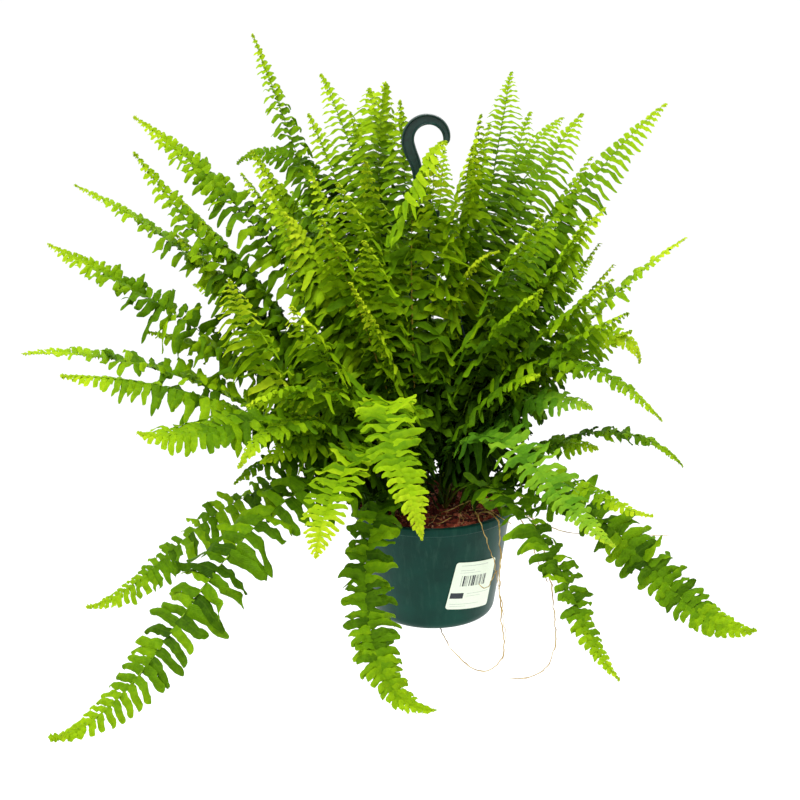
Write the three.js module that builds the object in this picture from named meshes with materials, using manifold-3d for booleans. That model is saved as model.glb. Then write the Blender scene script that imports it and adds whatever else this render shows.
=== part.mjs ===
// A sword fern in a round plastic hanging pot, with its hook, strands, soil and runners.
// Millimetres, +Z up. The origin is the saddle, the point inside the hook that the plant hangs from.
import * as THREE from "three";
import { mergeVertices } from "three/addons/utils/BufferGeometryUtils.js";
import Module from "manifold-3d";

const wasm = await Module();
wasm.setup();

// Driving dimensions of the pot, measured up from its underside
const potHeight = 140;
const rimRadius = 100;
const rimBand = 10; // height of the thicker band round the rim
const wallTopRadius = 95; // outside of the wall, just under the band
const wallFootRadius = 75; // outside of the wall, where the bottom edge starts to round
const wallFootHeight = 9;
const wallThickness = 2.2;
const floorThickness = 2.5;
const floorRadius = 63; // flat part of the underside
const rimRounding = 1.2; // at the lower and upper edges of the band
const potSides = 32;
const fit = 0.3; // clearance between pieces that touch
const drainHoles = { count: 6, ring: 42, radius: 5, sides: 8, firstHeading: 30 };

// Soil, mounded from just under the rim to the crown of the plant
const soilEdge = 135;
const soilCrown = 139;
const soilLump = 1.6;
const soilRings = [84, 66, 46, 24]; // rings of points on the upper face

// Hanger: the saddle's height above the underside, the hook's section and the strands
const saddleHeight = 596;
const hook = {
  throat: 16.5, tip: 6.5, crown: 12.5, back: 15, shank: 9.5, width: 10, flange: 2.4, web: 3.6,
};
const crook = { from: -18, to: 190, step: 16 }; // the round part of the hook, in degrees from its tip
// The shank's bends below the crook's centre, as [across, up], down to the hub
const shankBends = [
  [-22.6, -5], [-20.6, -15], [-16.4, -25], [-13.6, -36], [-12.2, -48], [-8.6, -60], [-3, -70], [0, -80],
  [0, -88],
];
const hub = { drop: 102, radius: 12, height: 10, socketRing: 6, socketDepth: 6 };
const strand = { radius: 1.2, sides: 6, headings: [95, 215, 335], rimRing: 97.4, bead: 2.0, beadHeight: 3 };

// Label, its centre on the pot wall
const label = { heading: 304, height: 57.5, width: 63, tall: 63, turn: -8, thick: 0.4, columns: 7, rows: 2 };

const runnerRadius = 0.9;
const runnerSides = 5;

// Fronds: stalk and rib sections, and how the leaflets stand on them
const stalk = { width: 3.0, thick: 2.2, depth: 12, bare: 0.14, holeLength: 26 };
const rib = { width: 2.2, thick: 1.1 };
const bladeEnd = 0.985; // share of the rib's length that carries leaflets
const leafThick = 0.85;
const leafPitch = { first: 38, second: 56 }; // from leaflet to leaflet on a tuft's first and second frond
const leafPairs = { fewest: 5, most: 14 };
const leafReach = 0.85; // share of its length that a leaflet stands out, as it arches
const leafForward = 0.3;
const leafFall = 0.35;
const aside = { steps: 90, turn: 0.7, shift: 1.2, spiral: 137.5 }; // how a frond steps aside for another
const crownRing = { inner: 12, outer: 56, steep: 88 };

const radians = THREE.MathUtils.degToRad;
const lerp = THREE.MathUtils.lerp;
const clamp = THREE.MathUtils.clamp;
const point = (x, y, z) => new THREE.Vector3(x, y, z);

// A point given by its heading about the pot's axis, its distance from the axis and its height
function polar(heading, ring, height) {
  const a = radians(heading);
  return point(ring * Math.cos(a), ring * Math.sin(a), height);
}

// Seeded random numbers from 0 to 1, the same on every run
function seededRandom(seed) {
  let state = seed;
  return () => {
    state = (state * 1664525 + 1013904223) % 4294967296;
    return state / 4294967296;
  };
}

// A closed body from points and triangles, turned the right way out
function bodyFrom(points, faces) {
  let volume = 0;
  for (const [a, b, c] of faces) {
    volume += points[a].dot(point(0, 0, 0).crossVectors(points[b], points[c]));
  }
  const turned = volume < 0 ? faces.map(([a, b, c]) => [a, c, b]) : faces;
  const geometry = new THREE.BufferGeometry();
  const places = points.flatMap((p) => p.toArray());
  geometry.setAttribute("position", new THREE.Float32BufferAttribute(places, 3));
  geometry.setIndex(turned.flat());
  return geometry;
}

// A tube through rings of points, every ring with the same number, with flat ends
function loft(rings) {
  const n = rings[0].length;
  const points = rings.flat();
  const faces = [];
  for (let i = 0; i + 1 < rings.length; i += 1) {
    for (let j = 0; j < n; j += 1) {
      const a = i * n + j;
      const b = i * n + ((j + 1) % n);
      faces.push([a, b, b + n], [a, b + n, a + n]);
    }
  }
  const last = (rings.length - 1) * n;
  const axis = point(0, 0, 0).subVectors(rings[1][0], rings[0][0]).normalize();
  const across = point(0, 0, 0).subVectors(rings[0][1], rings[0][0]).normalize();
  const third = point(0, 0, 0).crossVectors(axis, across).normalize();
  const flat = rings[0].map((p) => new THREE.Vector2(p.dot(across), p.dot(third)));
  const turning = Math.sign(THREE.ShapeUtils.area(flat));
  for (const face of THREE.ShapeUtils.triangulateShape(flat, [])) {
    const same = Math.sign(THREE.ShapeUtils.area(face.map((k) => flat[k]))) === turning;
    const [a, b, c] = same ? face : [...face].reverse();
    faces.push([a, c, b], [last + a, last + b, last + c]);
  }
  return bodyFrom(points, faces);
}

// A round tube along a path, with its own radius at each point
function tube(path, radii, sides) {
  const rings = path.map((centre, i) => {
    const before = path[Math.max(i - 1, 0)];
    const after = path[Math.min(i + 1, path.length - 1)];
    const along = point(0, 0, 0).subVectors(after, before).normalize();
    const start = Math.abs(along.z) > 0.95 ? point(0, 1, 0) : point(0, 0, 1);
    const first = point(0, 0, 0).crossVectors(start, along).normalize();
    const second = point(0, 0, 0).crossVectors(along, first);
    return Array.from({ length: sides }, (_, k) => {
      const a = (2 * Math.PI * k) / sides;
      return centre.clone()
        .addScaledVector(first, radii[i] * Math.cos(a))
        .addScaledVector(second, radii[i] * Math.sin(a));
    });
  });
  return loft(rings);
}

// A solid for cutting and joining, from any closed geometry
function solidFrom(geometry) {
  const bare = geometry.clone();
  bare.deleteAttribute("normal");
  bare.deleteAttribute("uv");
  const merged = mergeVertices(bare, 1e-4);
  const corners = [];
  const index = merged.index.array;
  for (let i = 0; i < index.length; i += 3) {
    const [a, b, c] = [index[i], index[i + 1], index[i + 2]];
    if (a !== b && b !== c && c !== a) corners.push(a, b, c);
  }
  const vertProperties = new Float32Array(merged.attributes.position.array);
  const triVerts = new Uint32Array(corners);
  return new wasm.Manifold(new wasm.Mesh({ numProp: 3, vertProperties, triVerts }));
}

function geometryFrom(solid) {
  const mesh = solid.getMesh();
  const geometry = new THREE.BufferGeometry();
  geometry.setAttribute("position", new THREE.BufferAttribute(mesh.vertProperties, 3));
  geometry.setIndex(new THREE.BufferAttribute(mesh.triVerts, 1));
  return geometry;
}

// A body of revolution about +Z from [radius, height] pairs that start and end on the axis
function turnedSolid(profile) {
  const turned = new THREE.LatheGeometry(profile.map(([r, z]) => new THREE.Vector2(r, z)), potSides);
  turned.rotateX(Math.PI / 2);
  const solid = solidFrom(turned);
  return solid.volume() > 0 ? solid : solidFrom(flipped(turned));
}

function flipped(geometry) {
  const turned = geometry.clone();
  const index = turned.index.array;
  for (let i = 0; i < index.length; i += 3) [index[i + 1], index[i + 2]] = [index[i + 2], index[i + 1]];
  return turned;
}

// An upright round cutter between two heights
function uprightCutter(x, y, radius, sides, low, high) {
  return solidFrom(tube([point(x, y, low), point(x, y, high)], [radius, radius], sides));
}

// Outside radius of the pot wall at a height, under the band
function wallRadius(height) {
  const share = (height - wallFootHeight) / (potHeight - rimBand - wallFootHeight);
  return lerp(wallFootRadius, wallTopRadius, share);
}

function makePot() {
  const inner = wallTopRadius - wallThickness;
  const band = potHeight - rimBand;
  let solid = turnedSolid([
    [0, 0], [floorRadius, 0], [lerp(floorRadius, wallFootRadius, 0.62), 0.3 * wallFootHeight],
    [wallFootRadius, wallFootHeight], [wallTopRadius, band], [rimRadius - rimRounding, band + rimRounding],
    [rimRadius, band + 2 * rimRounding], [rimRadius, potHeight - rimRounding],
    [rimRadius - rimRounding, potHeight], [inner + 1, potHeight], [inner, potHeight - 1], [inner, band],
    [wallFootRadius - wallThickness, wallFootHeight + 1], [floorRadius + 2, floorThickness],
    [0, floorThickness],
  ]);
  const past = 5; // how far a cutter passes the wall that it cuts
  for (let k = 0; k < drainHoles.count; k += 1) {
    const at = polar((360 * k) / drainHoles.count + drainHoles.firstHeading, drainHoles.ring, 0);
    const top = floorThickness + past;
    solid = solid.subtract(uprightCutter(at.x, at.y, drainHoles.radius, drainHoles.sides, -past, top));
  }
  for (const heading of strand.headings) {
    const at = polar(heading, strand.rimRing, 0);
    const bore = strand.radius + fit;
    const top = potHeight + past;
    solid = solid.subtract(uprightCutter(at.x, at.y, bore, drainHoles.sides, band - past, top));
  }
  return geometryFrom(solid);
}

// Height of the soil's upper face at a distance from the axis, before its lumps
function soilHeight(ring) {
  const share = clamp(ring / (wallTopRadius - wallThickness), 0, 1);
  return soilEdge + (soilCrown - soilEdge) * (1 - share ** 3);
}

// Soil that fills the pot, with a lumpy top and a plain hole for each stem
function makeSoil(stems) {
  const outer = wallTopRadius - wallThickness - fit;
  const low = floorThickness + fit;
  const profile = [
    [0, low], [floorRadius + 1.5, low], [wallFootRadius - wallThickness - 2 * fit, wallFootHeight + 1.5],
    [outer, potHeight - rimBand], ...[outer, ...soilRings].map((r) => [r, soilHeight(r)]), [0, soilCrown],
  ];
  const random = seededRandom(41);
  const turned = new THREE.LatheGeometry(profile.map(([r, z]) => new THREE.Vector2(r, z)), potSides);
  turned.rotateX(Math.PI / 2);
  turned.deleteAttribute("normal");
  turned.deleteAttribute("uv");
  const merged = mergeVertices(turned, 1e-3);
  const at = merged.attributes.position;
  for (let i = 0; i < at.count; i += 1) {
    const ring = Math.hypot(at.getX(i), at.getY(i));
    if (at.getZ(i) < soilEdge - 0.5 || ring > outer - 1) continue;
    at.setZ(i, at.getZ(i) + soilLump * (2 * random() - 1));
  }
  let solid = solidFrom(merged);
  if (solid.volume() < 0) solid = solidFrom(flipped(merged));
  for (const stem of stems) solid = solid.subtract(stem);
  return geometryFrom(solid);
}

// The hook's stations: centre, outward direction in the hook's own plane, and depth of the section
function hookStations() {
  const stations = [];
  const centre = new THREE.Vector2(0, saddleHeight - hook.throat);
  for (let a = crook.from; a <= crook.to; a += crook.step) {
    const share = clamp((a - crook.from) / (90 - crook.from), 0, 1);
    const past = clamp((a - 90) / 100, 0, 1);
    const deep = lerp(lerp(hook.tip, hook.crown, share ** 0.7), hook.back, past);
    const out = new THREE.Vector2(Math.cos(radians(a)), Math.sin(radians(a)));
    const at = centre.clone().addScaledVector(out, hook.throat + deep / 2);
    stations.push({ at, out, deep });
  }
  for (let i = 1; i < shankBends.length; i += 1) {
    const [x, z] = shankBends[i];
    const before = shankBends[i - 1];
    const after = shankBends[Math.min(i + 1, shankBends.length - 1)];
    const along = new THREE.Vector2(after[0] - before[0], after[1] - before[1]).normalize();
    const out = new THREE.Vector2(along.y, -along.x);
    const at = new THREE.Vector2(centre.x + x, centre.y + z);
    stations.push({ at, out, deep: lerp(hook.back, hook.shank, clamp((i - 1) / 4, 0, 1)) });
  }
  return stations;
}

// The moulded hook: an I section carried along its stations, fused to a round hub with three sockets
function makeHook() {
  const rings = hookStations().map(({ at, out, deep }) => {
    const h = deep / 2;
    const b = (hook.width / 2) * clamp(deep / hook.shank, 0.62, 1);
    const f = Math.min(hook.flange, h * 0.6);
    const w = hook.web / 2;
    const section = [
      [h, b], [h, -b], [h - f, -b], [h - f, -w], [f - h, -w], [f - h, -b],
      [-h, -b], [-h, b], [f - h, b], [f - h, w], [h - f, w], [h - f, b],
    ];
    return section.map(([n, y]) => point(at.x + out.x * n, y, at.y + out.y * n));
  });
  const hubLow = saddleHeight - hub.drop - hub.height / 2;
  const hubBody = uprightCutter(0, 0, hub.radius, 16, hubLow, hubLow + hub.height);
  let solid = solidFrom(loft(rings)).add(hubBody);
  for (const heading of strand.headings) {
    const [top, knee] = strandPath(heading);
    const below = top.clone().lerp(knee, 0.1);
    const above = top.clone().lerp(knee, -0.001);
    const bore = strand.radius + fit;
    solid = solid.subtract(solidFrom(tube([above, below], [bore, bore], strand.sides)));
  }
  return geometryFrom(solid);
}

// A strand runs from its socket in the hub to a hole in the rim band, and ends in a bead under it
function strandPath(heading) {
  const hubLow = saddleHeight - hub.drop - hub.height / 2;
  const band = potHeight - rimBand;
  const low = band - 0.6 - strand.beadHeight;
  const heights = [potHeight + 4, band + 0.2, band - 0.6, low, low - 0.8];
  return [
    polar(heading, hub.socketRing, hubLow + hub.socketDepth),
    polar(heading, strand.rimRing - 1.5, potHeight + 9),
    ...heights.map((height) => polar(heading, strand.rimRing, height)),
  ];
}

function makeStrand(heading) {
  const r = strand.radius;
  return tube(strandPath(heading), [r, r, r, r, strand.bead, strand.bead, r], strand.sides);
}

// A sheet bent round the pot wall, its rows and columns turned by the label's own angle
function makeLabel() {
  const inner = [];
  const outer = [];
  for (let j = 0; j <= label.rows; j += 1) {
    for (let i = 0; i <= label.columns; i += 1) {
      const u = label.width * (i / label.columns - 0.5);
      const v = label.tall * (j / label.rows - 0.5);
      const a = radians(label.turn);
      const height = label.height + u * Math.sin(a) + v * Math.cos(a);
      const ring = wallRadius(height) + fit + 0.15;
      const heading = label.heading + THREE.MathUtils.radToDeg((u * Math.cos(a) - v * Math.sin(a)) / ring);
      inner.push(polar(heading, ring, height));
      outer.push(polar(heading, ring + label.thick, height));
    }
  }
  const wide = label.columns + 1;
  const points = [...inner, ...outer];
  const faces = [];
  const side = (a, b) => faces.push([a, b, b + inner.length], [a, b + inner.length, a + inner.length]);
  for (let j = 0; j < label.rows; j += 1) {
    for (let i = 0; i < label.columns; i += 1) {
      const a = j * wide + i;
      const up = inner.length;
      faces.push([a, a + wide + 1, a + 1], [a, a + wide, a + wide + 1]);
      faces.push([a + up, a + up + 1, a + up + wide + 1], [a + up, a + up + wide + 1, a + up + wide]);
    }
  }
  for (let i = 0; i < label.columns; i += 1) {
    side(i, i + 1);
    side(label.rows * wide + i + 1, label.rows * wide + i);
  }
  for (let j = 0; j < label.rows; j += 1) {
    side((j + 1) * wide, j * wide);
    side(j * wide + label.columns, (j + 1) * wide + label.columns);
  }
  return bodyFrom(points, faces);
}

// Runners: routes chosen by hand, from the soil over the rim
const runnerRoutes = [
  [
    [50, -46, 128], [54, -54, 143], [66, -70, 149], [75, -82, 141], [77, -88, 110], [76, -88, 70],
    [78, -86, 25], [82, -84, -15], [76, -80, -40], [60, -78, -52], [40, -76, -46], [22, -72, -28],
    [10, -62, -12], [4, -40, -6],
  ],
  [
    [58, -30, 128], [64, -33, 143], [80, -42, 152], [96, -52, 148], [108, -60, 126], [120, -70, 96],
    [133, -84, 66],
  ],
  [
    [66, -4, 128], [74, -6, 144], [92, -12, 156], [112, -22, 142], [130, -34, 100], [142, -50, 40],
    [146, -62, -14], [138, -72, -46], [116, -78, -60], [88, -80, -62],
  ],
];

function runnerPath(route) {
  const curve = new THREE.CatmullRomCurve3(route.map(([x, y, z]) => point(x, y, z)));
  return curve.getSpacedPoints(Math.round(route.length * 1.7));
}

function makeRunner(route) {
  const path = runnerPath(route);
  const radii = path.map((_, i) => (i < path.length - 1 ? runnerRadius : runnerRadius * 0.6));
  return tube(path, radii, runnerSides);
}

// Every frond, seen from above by its heading in degrees (0 is the right, 270 the front). It leaves the
// soil at the angle rise and ends at the angle droop; a bend under 1.5 falls over sooner. A flick lifts
// or drops the last part, a turn swings it round, a roll turns its face. leaf is the longest leaflet.
const fronds = [
  { heading: 181, length: 600, rise: 75, droop: 71, leaf: 43, roll: -40 },
  { heading: 171, length: 588, rise: 71, droop: 34, leaf: 43, roll: -30 },
  { heading: 184, length: 535, rise: 58, droop: 55, leaf: 43, roll: -35 },
  { heading: 172, length: 566, rise: 60, droop: 25, leaf: 43 },
  { heading: 178, length: 528, rise: 51, droop: 22, leaf: 47, flick: 5, roll: -25 },
  { heading: 187, length: 492, rise: 47, droop: -1, leaf: 44 },
  { heading: 199, length: 450, rise: 48, droop: 0, leaf: 44, flick: 8, roll: -12 },
  { heading: 216, length: 420, rise: 63, droop: -50, leaf: 43, bend: 1.42, flick: 76, roll: -15 },
  { heading: 196, length: 445, rise: 67, droop: -76, leaf: 40, bend: 0.67, turn: 12, flick: 77, roll: -20 },
  { heading: 226, length: 618, rise: 84, droop: -84, leaf: 50, bend: 0.58, turn: -14, flick: 90, roll: -30 },
  { heading: 163, length: 542, rise: 81, droop: 69, leaf: 40, flick: -115, roll: -50 },
  { heading: 200, length: 446, rise: 61, droop: 94, leaf: 29, flick: -34, roll: -60 },
  { heading: 168, length: 500, rise: 82, droop: 66, leaf: 35, roll: -50 },
  { heading: 146, length: 546, rise: 85, droop: 61, leaf: 40, roll: -30 },
  { heading: 161, length: 520, rise: 81, droop: 90, leaf: 47, flick: 14, roll: -20 },
  { heading: 125, length: 517, rise: 84, droop: 70, leaf: 43, roll: -20 },
  { heading: 245, length: 476, rise: 78, droop: 106, leaf: 43, bend: 1.45, turn: 105, flick: -72 },
  { heading: 32, length: 533, rise: 81, droop: 77, leaf: 38, roll: 40 },
  { heading: 53, length: 510, rise: 76, droop: 54, leaf: 40, roll: 30 },
  { heading: 47, length: 538, rise: 84, droop: 34, leaf: 40, bend: 1.68, turn: -6, flick: -13, roll: 20 },
  { heading: 21, length: 514, rise: 83, droop: 49, leaf: 45, turn: -5, roll: 35 },
  { heading: 5, length: 561, rise: 78, droop: 39, leaf: 48, roll: 35 },
  { heading: 356, length: 431, rise: 64, droop: 35, leaf: 43 },
  { heading: 16, length: 370, rise: 67, droop: 50, leaf: 16, roll: 40 },
  { heading: 2, length: 356, rise: 66, droop: 48, leaf: 16, roll: 40 },
  { heading: 345, length: 370, rise: 71, droop: 31, leaf: 40, flick: -120, roll: 30 },
  { heading: 325, length: 432, rise: 84, droop: -77, leaf: 36, bend: 1.67, flick: 37, roll: -5 },
  { heading: 340, length: 316, rise: 55, droop: -32, leaf: 34, bend: 1.55, turn: -4, flick: -19, roll: -5 },
  { heading: 295, length: 432, rise: 88, droop: -70, leaf: 49, bend: 0.9, turn: 16, flick: 60, roll: 10 },
  { heading: 310, length: 333, rise: 60, droop: -49, leaf: 28, bend: 1.09, turn: 10, flick: 56, roll: 20 },
  { heading: 320, length: 446, rise: 65, droop: -86, leaf: 46, bend: 0.74, turn: 8, flick: 115, roll: 40 },
  { heading: 300, length: 415, rise: 76, droop: -94, leaf: 42, bend: 0.74, turn: 8, flick: 70, roll: -8 },
  { heading: 244, length: 430, rise: 80, droop: -116, leaf: 40, bend: 0.7, turn: 123, flick: 122 },
  { heading: 243, length: 356, rise: 67, droop: -82, leaf: 45, turn: 6, flick: 16 },
  { heading: 249, length: 458, rise: 77, droop: -92, leaf: 48, bend: 1.57, turn: 79, flick: 13 },
  { heading: 211, length: 386, rise: 47, droop: 70, leaf: 37, flick: 10, roll: 50 },
  { heading: 227, length: 360, rise: 69, droop: -10, leaf: 36, roll: 35 },
  { heading: 197, length: 408, rise: 75, droop: 60, leaf: 40, roll: -50 },
  { heading: 237, length: 345, rise: 81, droop: 42, leaf: 16, bend: 1.35, turn: -9, flick: 17 },
  { heading: 311, length: 372, rise: 90, droop: 71, leaf: 16, turn: 6, flick: -64 },
  { heading: 0, length: 440, rise: 92, droop: 72, leaf: 18 },
  { heading: 209, length: 260, rise: 56, droop: -27, leaf: 40, flick: -12 },
  { heading: 352, length: 396, rise: 81, droop: 55, leaf: 52, roll: 40 },
  { heading: 194, length: 350, rise: 57, droop: 116, leaf: 43, flick: -12, roll: -40 },
  { heading: 104, length: 520, rise: 74, droop: 10, leaf: 45 },
  { heading: 122, length: 500, rise: 73, droop: 12, leaf: 45 },
  { heading: 60, length: 400, rise: 58, droop: -40, leaf: 45 },
  { heading: 88, length: 420, rise: 56, droop: -44, leaf: 45 },
  { heading: 116, length: 410, rise: 57, droop: -42, leaf: 45 },
  { heading: 142, length: 420, rise: 58, droop: -30, leaf: 45 },
];

// Second fronds: each grows from the same foot as the frond whose number it has as its tuft
const seconds = [
  { tuft: 1, heading: 172, length: 480, rise: 74, droop: 58, leaf: 43, roll: -40 },
  { tuft: 2, heading: 168, length: 460, rise: 73, droop: 52, leaf: 42 },
  { tuft: 3, heading: 178, length: 490, rise: 66, droop: 43, leaf: 43 },
  { tuft: 4, heading: 178, length: 390, rise: 57, droop: 8, leaf: 43 },
  { tuft: 5, heading: 175, length: 430, rise: 62, droop: 42, leaf: 46 },
  { tuft: 7, heading: 210, length: 330, rise: 54, droop: -6, leaf: 38, roll: -20 },
  { tuft: 8, heading: 224, length: 280, rise: 62, droop: -20, leaf: 38, roll: -20 },
  { tuft: 12, heading: 190, length: 430, rise: 74, droop: 64, leaf: 40, roll: -40 },
  { tuft: 13, heading: 192, length: 440, rise: 78, droop: 68, leaf: 43, roll: -50 },
  { tuft: 14, heading: 150, length: 490, rise: 83, droop: 74, leaf: 45, roll: -20 },
  { tuft: 10, heading: 206, length: 440, rise: 83, droop: 78, leaf: 43, roll: 50 },
  { tuft: 16, heading: 150, length: 496, rise: 87, droop: 87, leaf: 43, roll: -20 },
  { tuft: 18, heading: 20, length: 470, rise: 86, droop: 78, leaf: 43, roll: 20 },
  { tuft: 20, heading: 30, length: 450, rise: 76, droop: 58, leaf: 43, roll: 30 },
  { tuft: 21, heading: 10, length: 465, rise: 76, droop: 54, leaf: 43, roll: 20 },
  { tuft: 22, heading: 350, length: 420, rise: 74, droop: 50, leaf: 45, roll: 30 },
  { tuft: 23, heading: 342, length: 320, rise: 66, droop: 26, leaf: 40, roll: -25 },
  { tuft: 24, heading: 8, length: 430, rise: 76, droop: 60, leaf: 43, roll: 35 },
  { tuft: 25, heading: 345, length: 400, rise: 74, droop: 58, leaf: 40, roll: -35 },
  { tuft: 26, heading: 332, length: 370, rise: 72, droop: 36, leaf: 43, roll: -25 },
  { tuft: 27, heading: 312, length: 350, rise: 80, droop: 36, leaf: 40, roll: -20 },
  { tuft: 28, heading: 330, length: 215, rise: 62, droop: -10, leaf: 36, roll: 20 },
  { tuft: 29, heading: 324, length: 300, rise: 74, droop: -15, leaf: 42, roll: 20 },
  { tuft: 31, heading: 336, length: 350, rise: 70, droop: 26, leaf: 40, roll: -30 },
  { tuft: 32, heading: 306, length: 290, rise: 76, droop: 14, leaf: 38, roll: 15 },
  { tuft: 34, heading: 224, length: 363, rise: 62, droop: -13, leaf: 38, bend: 1.4, turn: 9, flick: -39 },
  { tuft: 36, heading: 230, length: 340, rise: 66, droop: 52, leaf: 38, roll: 20 },
  { tuft: 37, heading: 238, length: 370, rise: 80, droop: 66, leaf: 40, roll: 15 },
  { tuft: 38, heading: 222, length: 430, rise: 81, droop: 68, leaf: 43, roll: 30 },
  { tuft: 39, heading: 288, length: 445, rise: 87, droop: 78, leaf: 40 },
  { tuft: 40, heading: 312, length: 455, rise: 87, droop: 76, leaf: 42 },
  { tuft: 41, heading: 340, length: 485, rise: 87, droop: 80, leaf: 43 },
  { tuft: 35, heading: 250, length: 230, rise: 72, droop: 10, leaf: 36 },
  { tuft: 43, heading: 316, length: 410, rise: 80, droop: 54, leaf: 45, roll: -25 },
  { tuft: 17, heading: 212, length: 400, rise: 74, droop: 66, leaf: 40, roll: 30 },
  { tuft: 45, heading: 80, length: 460, rise: 78, droop: 50, leaf: 44 },
  { tuft: 46, heading: 140, length: 460, rise: 74, droop: 36, leaf: 44 },
  { tuft: 47, heading: 44, length: 400, rise: 64, droop: 14, leaf: 44 },
  { tuft: 50, heading: 158, length: 400, rise: 62, droop: 14, leaf: 44 },
];

// Where a stalk starts in the soil, nearer the rim for one that leans more
function footOf({ heading, rise }) {
  const ring = clamp(crownRing.inner + crownRing.steep - rise, crownRing.inner, crownRing.outer);
  return polar(heading, ring, soilHeight(ring) - stalk.depth);
}

// The frond's rib from its foot (0) to its tip (1), as a function that gives a place and its directions
function ribOf({ heading, length, rise, droop, bend = 1.5, flick = 0, turn = 0, roll = 0 }, foot) {
  const steps = 48;
  const angleAt = (s) => radians(rise + (droop - rise) * s ** bend + flick * s ** 6);
  const headingAt = (s) => radians(heading + turn * s ** 3);
  const alongAt = (s) => {
    const level = Math.cos(angleAt(s));
    return point(level * Math.cos(headingAt(s)), level * Math.sin(headingAt(s)), Math.sin(angleAt(s)));
  };
  const places = [foot];
  for (let i = 0; i < steps; i += 1) {
    places.push(places[i].clone().addScaledVector(alongAt((i + 0.5) / steps), length / steps));
  }
  return (s) => {
    const step = clamp(Math.floor(s * steps), 0, steps - 1);
    const at = places[step].clone().lerp(places[step + 1], s * steps - step);
    const along = alongAt(s);
    const level = point(Math.sin(headingAt(s)), -Math.cos(headingAt(s)), 0);
    const lifted = point(0, 0, 0).crossVectors(level, along);
    const twist = radians(roll) * (1 - (1 - s) ** 2);
    const side = level.clone().multiplyScalar(Math.cos(twist)).addScaledVector(lifted, -Math.sin(twist));
    const up = level.clone().multiplyScalar(Math.sin(twist)).addScaledVector(lifted, Math.cos(twist));
    return { at, along, side, up };
  };
}

// Share of the longest leaflet that stands at a place along the blade, from its foot (0) to its tip (1)
function leafShare(q) {
  return Math.min(1, 0.45 + 2.2 * q) * (1 - q ** 2.6);
}

// The corners of the rib's section at a place: right, left and the keel under them
const keel = 2;
function ribCorners(place, width, thick) {
  const corner = (u, n) => place.at.clone().addScaledVector(place.side, u).addScaledVector(place.up, n);
  return [corner(width / 2, 0), corner(-width / 2, 0), corner(0, -thick)];
}

// Triangles already placed, kept in cubes of space, to ask whether a new leaflet would cross any
const cube = 40;
const space = new Map();

function cubesAround(points) {
  const low = points.reduce((m, p) => m.min(p), points[0].clone());
  const high = points.reduce((m, p) => m.max(p), points[0].clone());
  const [from, to] = [low, high].map((p) => p.divideScalar(cube).floor());
  const keys = [];
  for (let i = from.x; i <= to.x; i += 1) {
    for (let j = from.y; j <= to.y; j += 1) {
      for (let k = from.z; k <= to.z; k += 1) keys.push(`${i},${j},${k}`);
    }
  }
  return keys;
}

function remember(owner, triangles) {
  for (const corners of triangles) {
    const entry = { owner, corners, box: new THREE.Box3().setFromPoints(corners) };
    for (const key of cubesAround(corners)) {
      if (!space.has(key)) space.set(key, []);
      space.get(key).push(entry);
    }
  }
}

function trianglesOf(geometry) {
  const at = geometry.attributes.position;
  const corner = (i) => new THREE.Vector3().fromBufferAttribute(at, geometry.index.getX(i));
  const count = geometry.index.count / 3;
  return Array.from({ length: count }, (_, k) => [corner(3 * k), corner(3 * k + 1), corner(3 * k + 2)]);
}

// Whether any edge of one triangle passes through the other
function edgeCrosses(from, to) {
  const ray = new THREE.Ray();
  const hit = point(0, 0, 0);
  for (let i = 0; i < 3; i += 1) {
    const start = from[i];
    const way = point(0, 0, 0).subVectors(from[(i + 1) % 3], start);
    const reach = way.length();
    ray.set(start, way.divideScalar(reach));
    const met = ray.intersectTriangle(to[0], to[1], to[2], false, hit);
    if (met && hit.distanceTo(start) <= reach) return true;
  }
  return false;
}

function isClear(owner, triangles) {
  for (const corners of triangles) {
    const box = new THREE.Box3().setFromPoints(corners);
    for (const key of cubesAround(corners)) {
      for (const other of space.get(key) ?? []) {
        if (other.owner.startsWith(owner) || !box.intersectsBox(other.box)) continue;
        if (edgeCrosses(corners, other.corners) || edgeCrosses(other.corners, corners)) return false;
      }
    }
  }
  return true;
}

// A frond's skeleton: its rib's stations, from the foot in the soil to the tip, with some air round it
function skeletonOf(frond, foot, air = 0) {
  const ribAt = ribOf(frond, foot);
  const bare = stalk.bare;
  const wanted = Math.round((frond.length * (1 - bare)) / (frond.tuft ? leafPitch.second : leafPitch.first));
  const pairs = clamp(wanted, leafPairs.fewest, leafPairs.most);
  const stations = [0, bare / 2, bare].map((s) => ({ s, leafy: false }));
  for (let i = 1; i <= pairs; i += 1) {
    stations[stations.length - 1].leafy = true;
    stations.push({ s: lerp(bare, bladeEnd, i / pairs), leafy: false });
  }
  for (const station of stations) {
    const fine = clamp((station.s - bare / 2) / 0.4, 0, 1);
    const width = lerp(stalk.width, rib.width * (1 - 0.6 * station.s), fine);
    const thick = lerp(stalk.thick, rib.thick, fine);
    station.place = ribAt(station.s);
    station.corners = ribCorners(station.place, width + 2 * air, thick + 2 * air);
    station.leaf = frond.leaf * leafReach * leafShare((station.s - bare) / (1 - bare));
  }
  return stations;
}

// A frond whose rib would cross another steps aside until it is clear: the first of a tuft in a spiral round
// the place of its foot, the second by its heading, to one side and the other
function clearSkeleton(node, frond, foot) {
  for (let step = 0; step < aside.steps; step += 1) {
    const start = foot ?? footOf(frond).add(polar(aside.spiral * step, aside.shift * Math.sqrt(step), 0));
    const turn = foot ? aside.turn * Math.ceil(step / 2) * (step % 2 ? 1 : -1) : 0;
    const turned = { ...frond, heading: frond.heading + turn };
    if (!isClear(node, trianglesOf(makeFrond(skeletonOf(turned, start, fit))))) continue;
    const stations = skeletonOf(turned, start);
    remember(`${node} ${foot ? 1 : 0}`, trianglesOf(makeFrond(stations)));
    return stations;
  }
  throw new Error(`${node} has no clear way`);
}

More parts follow.
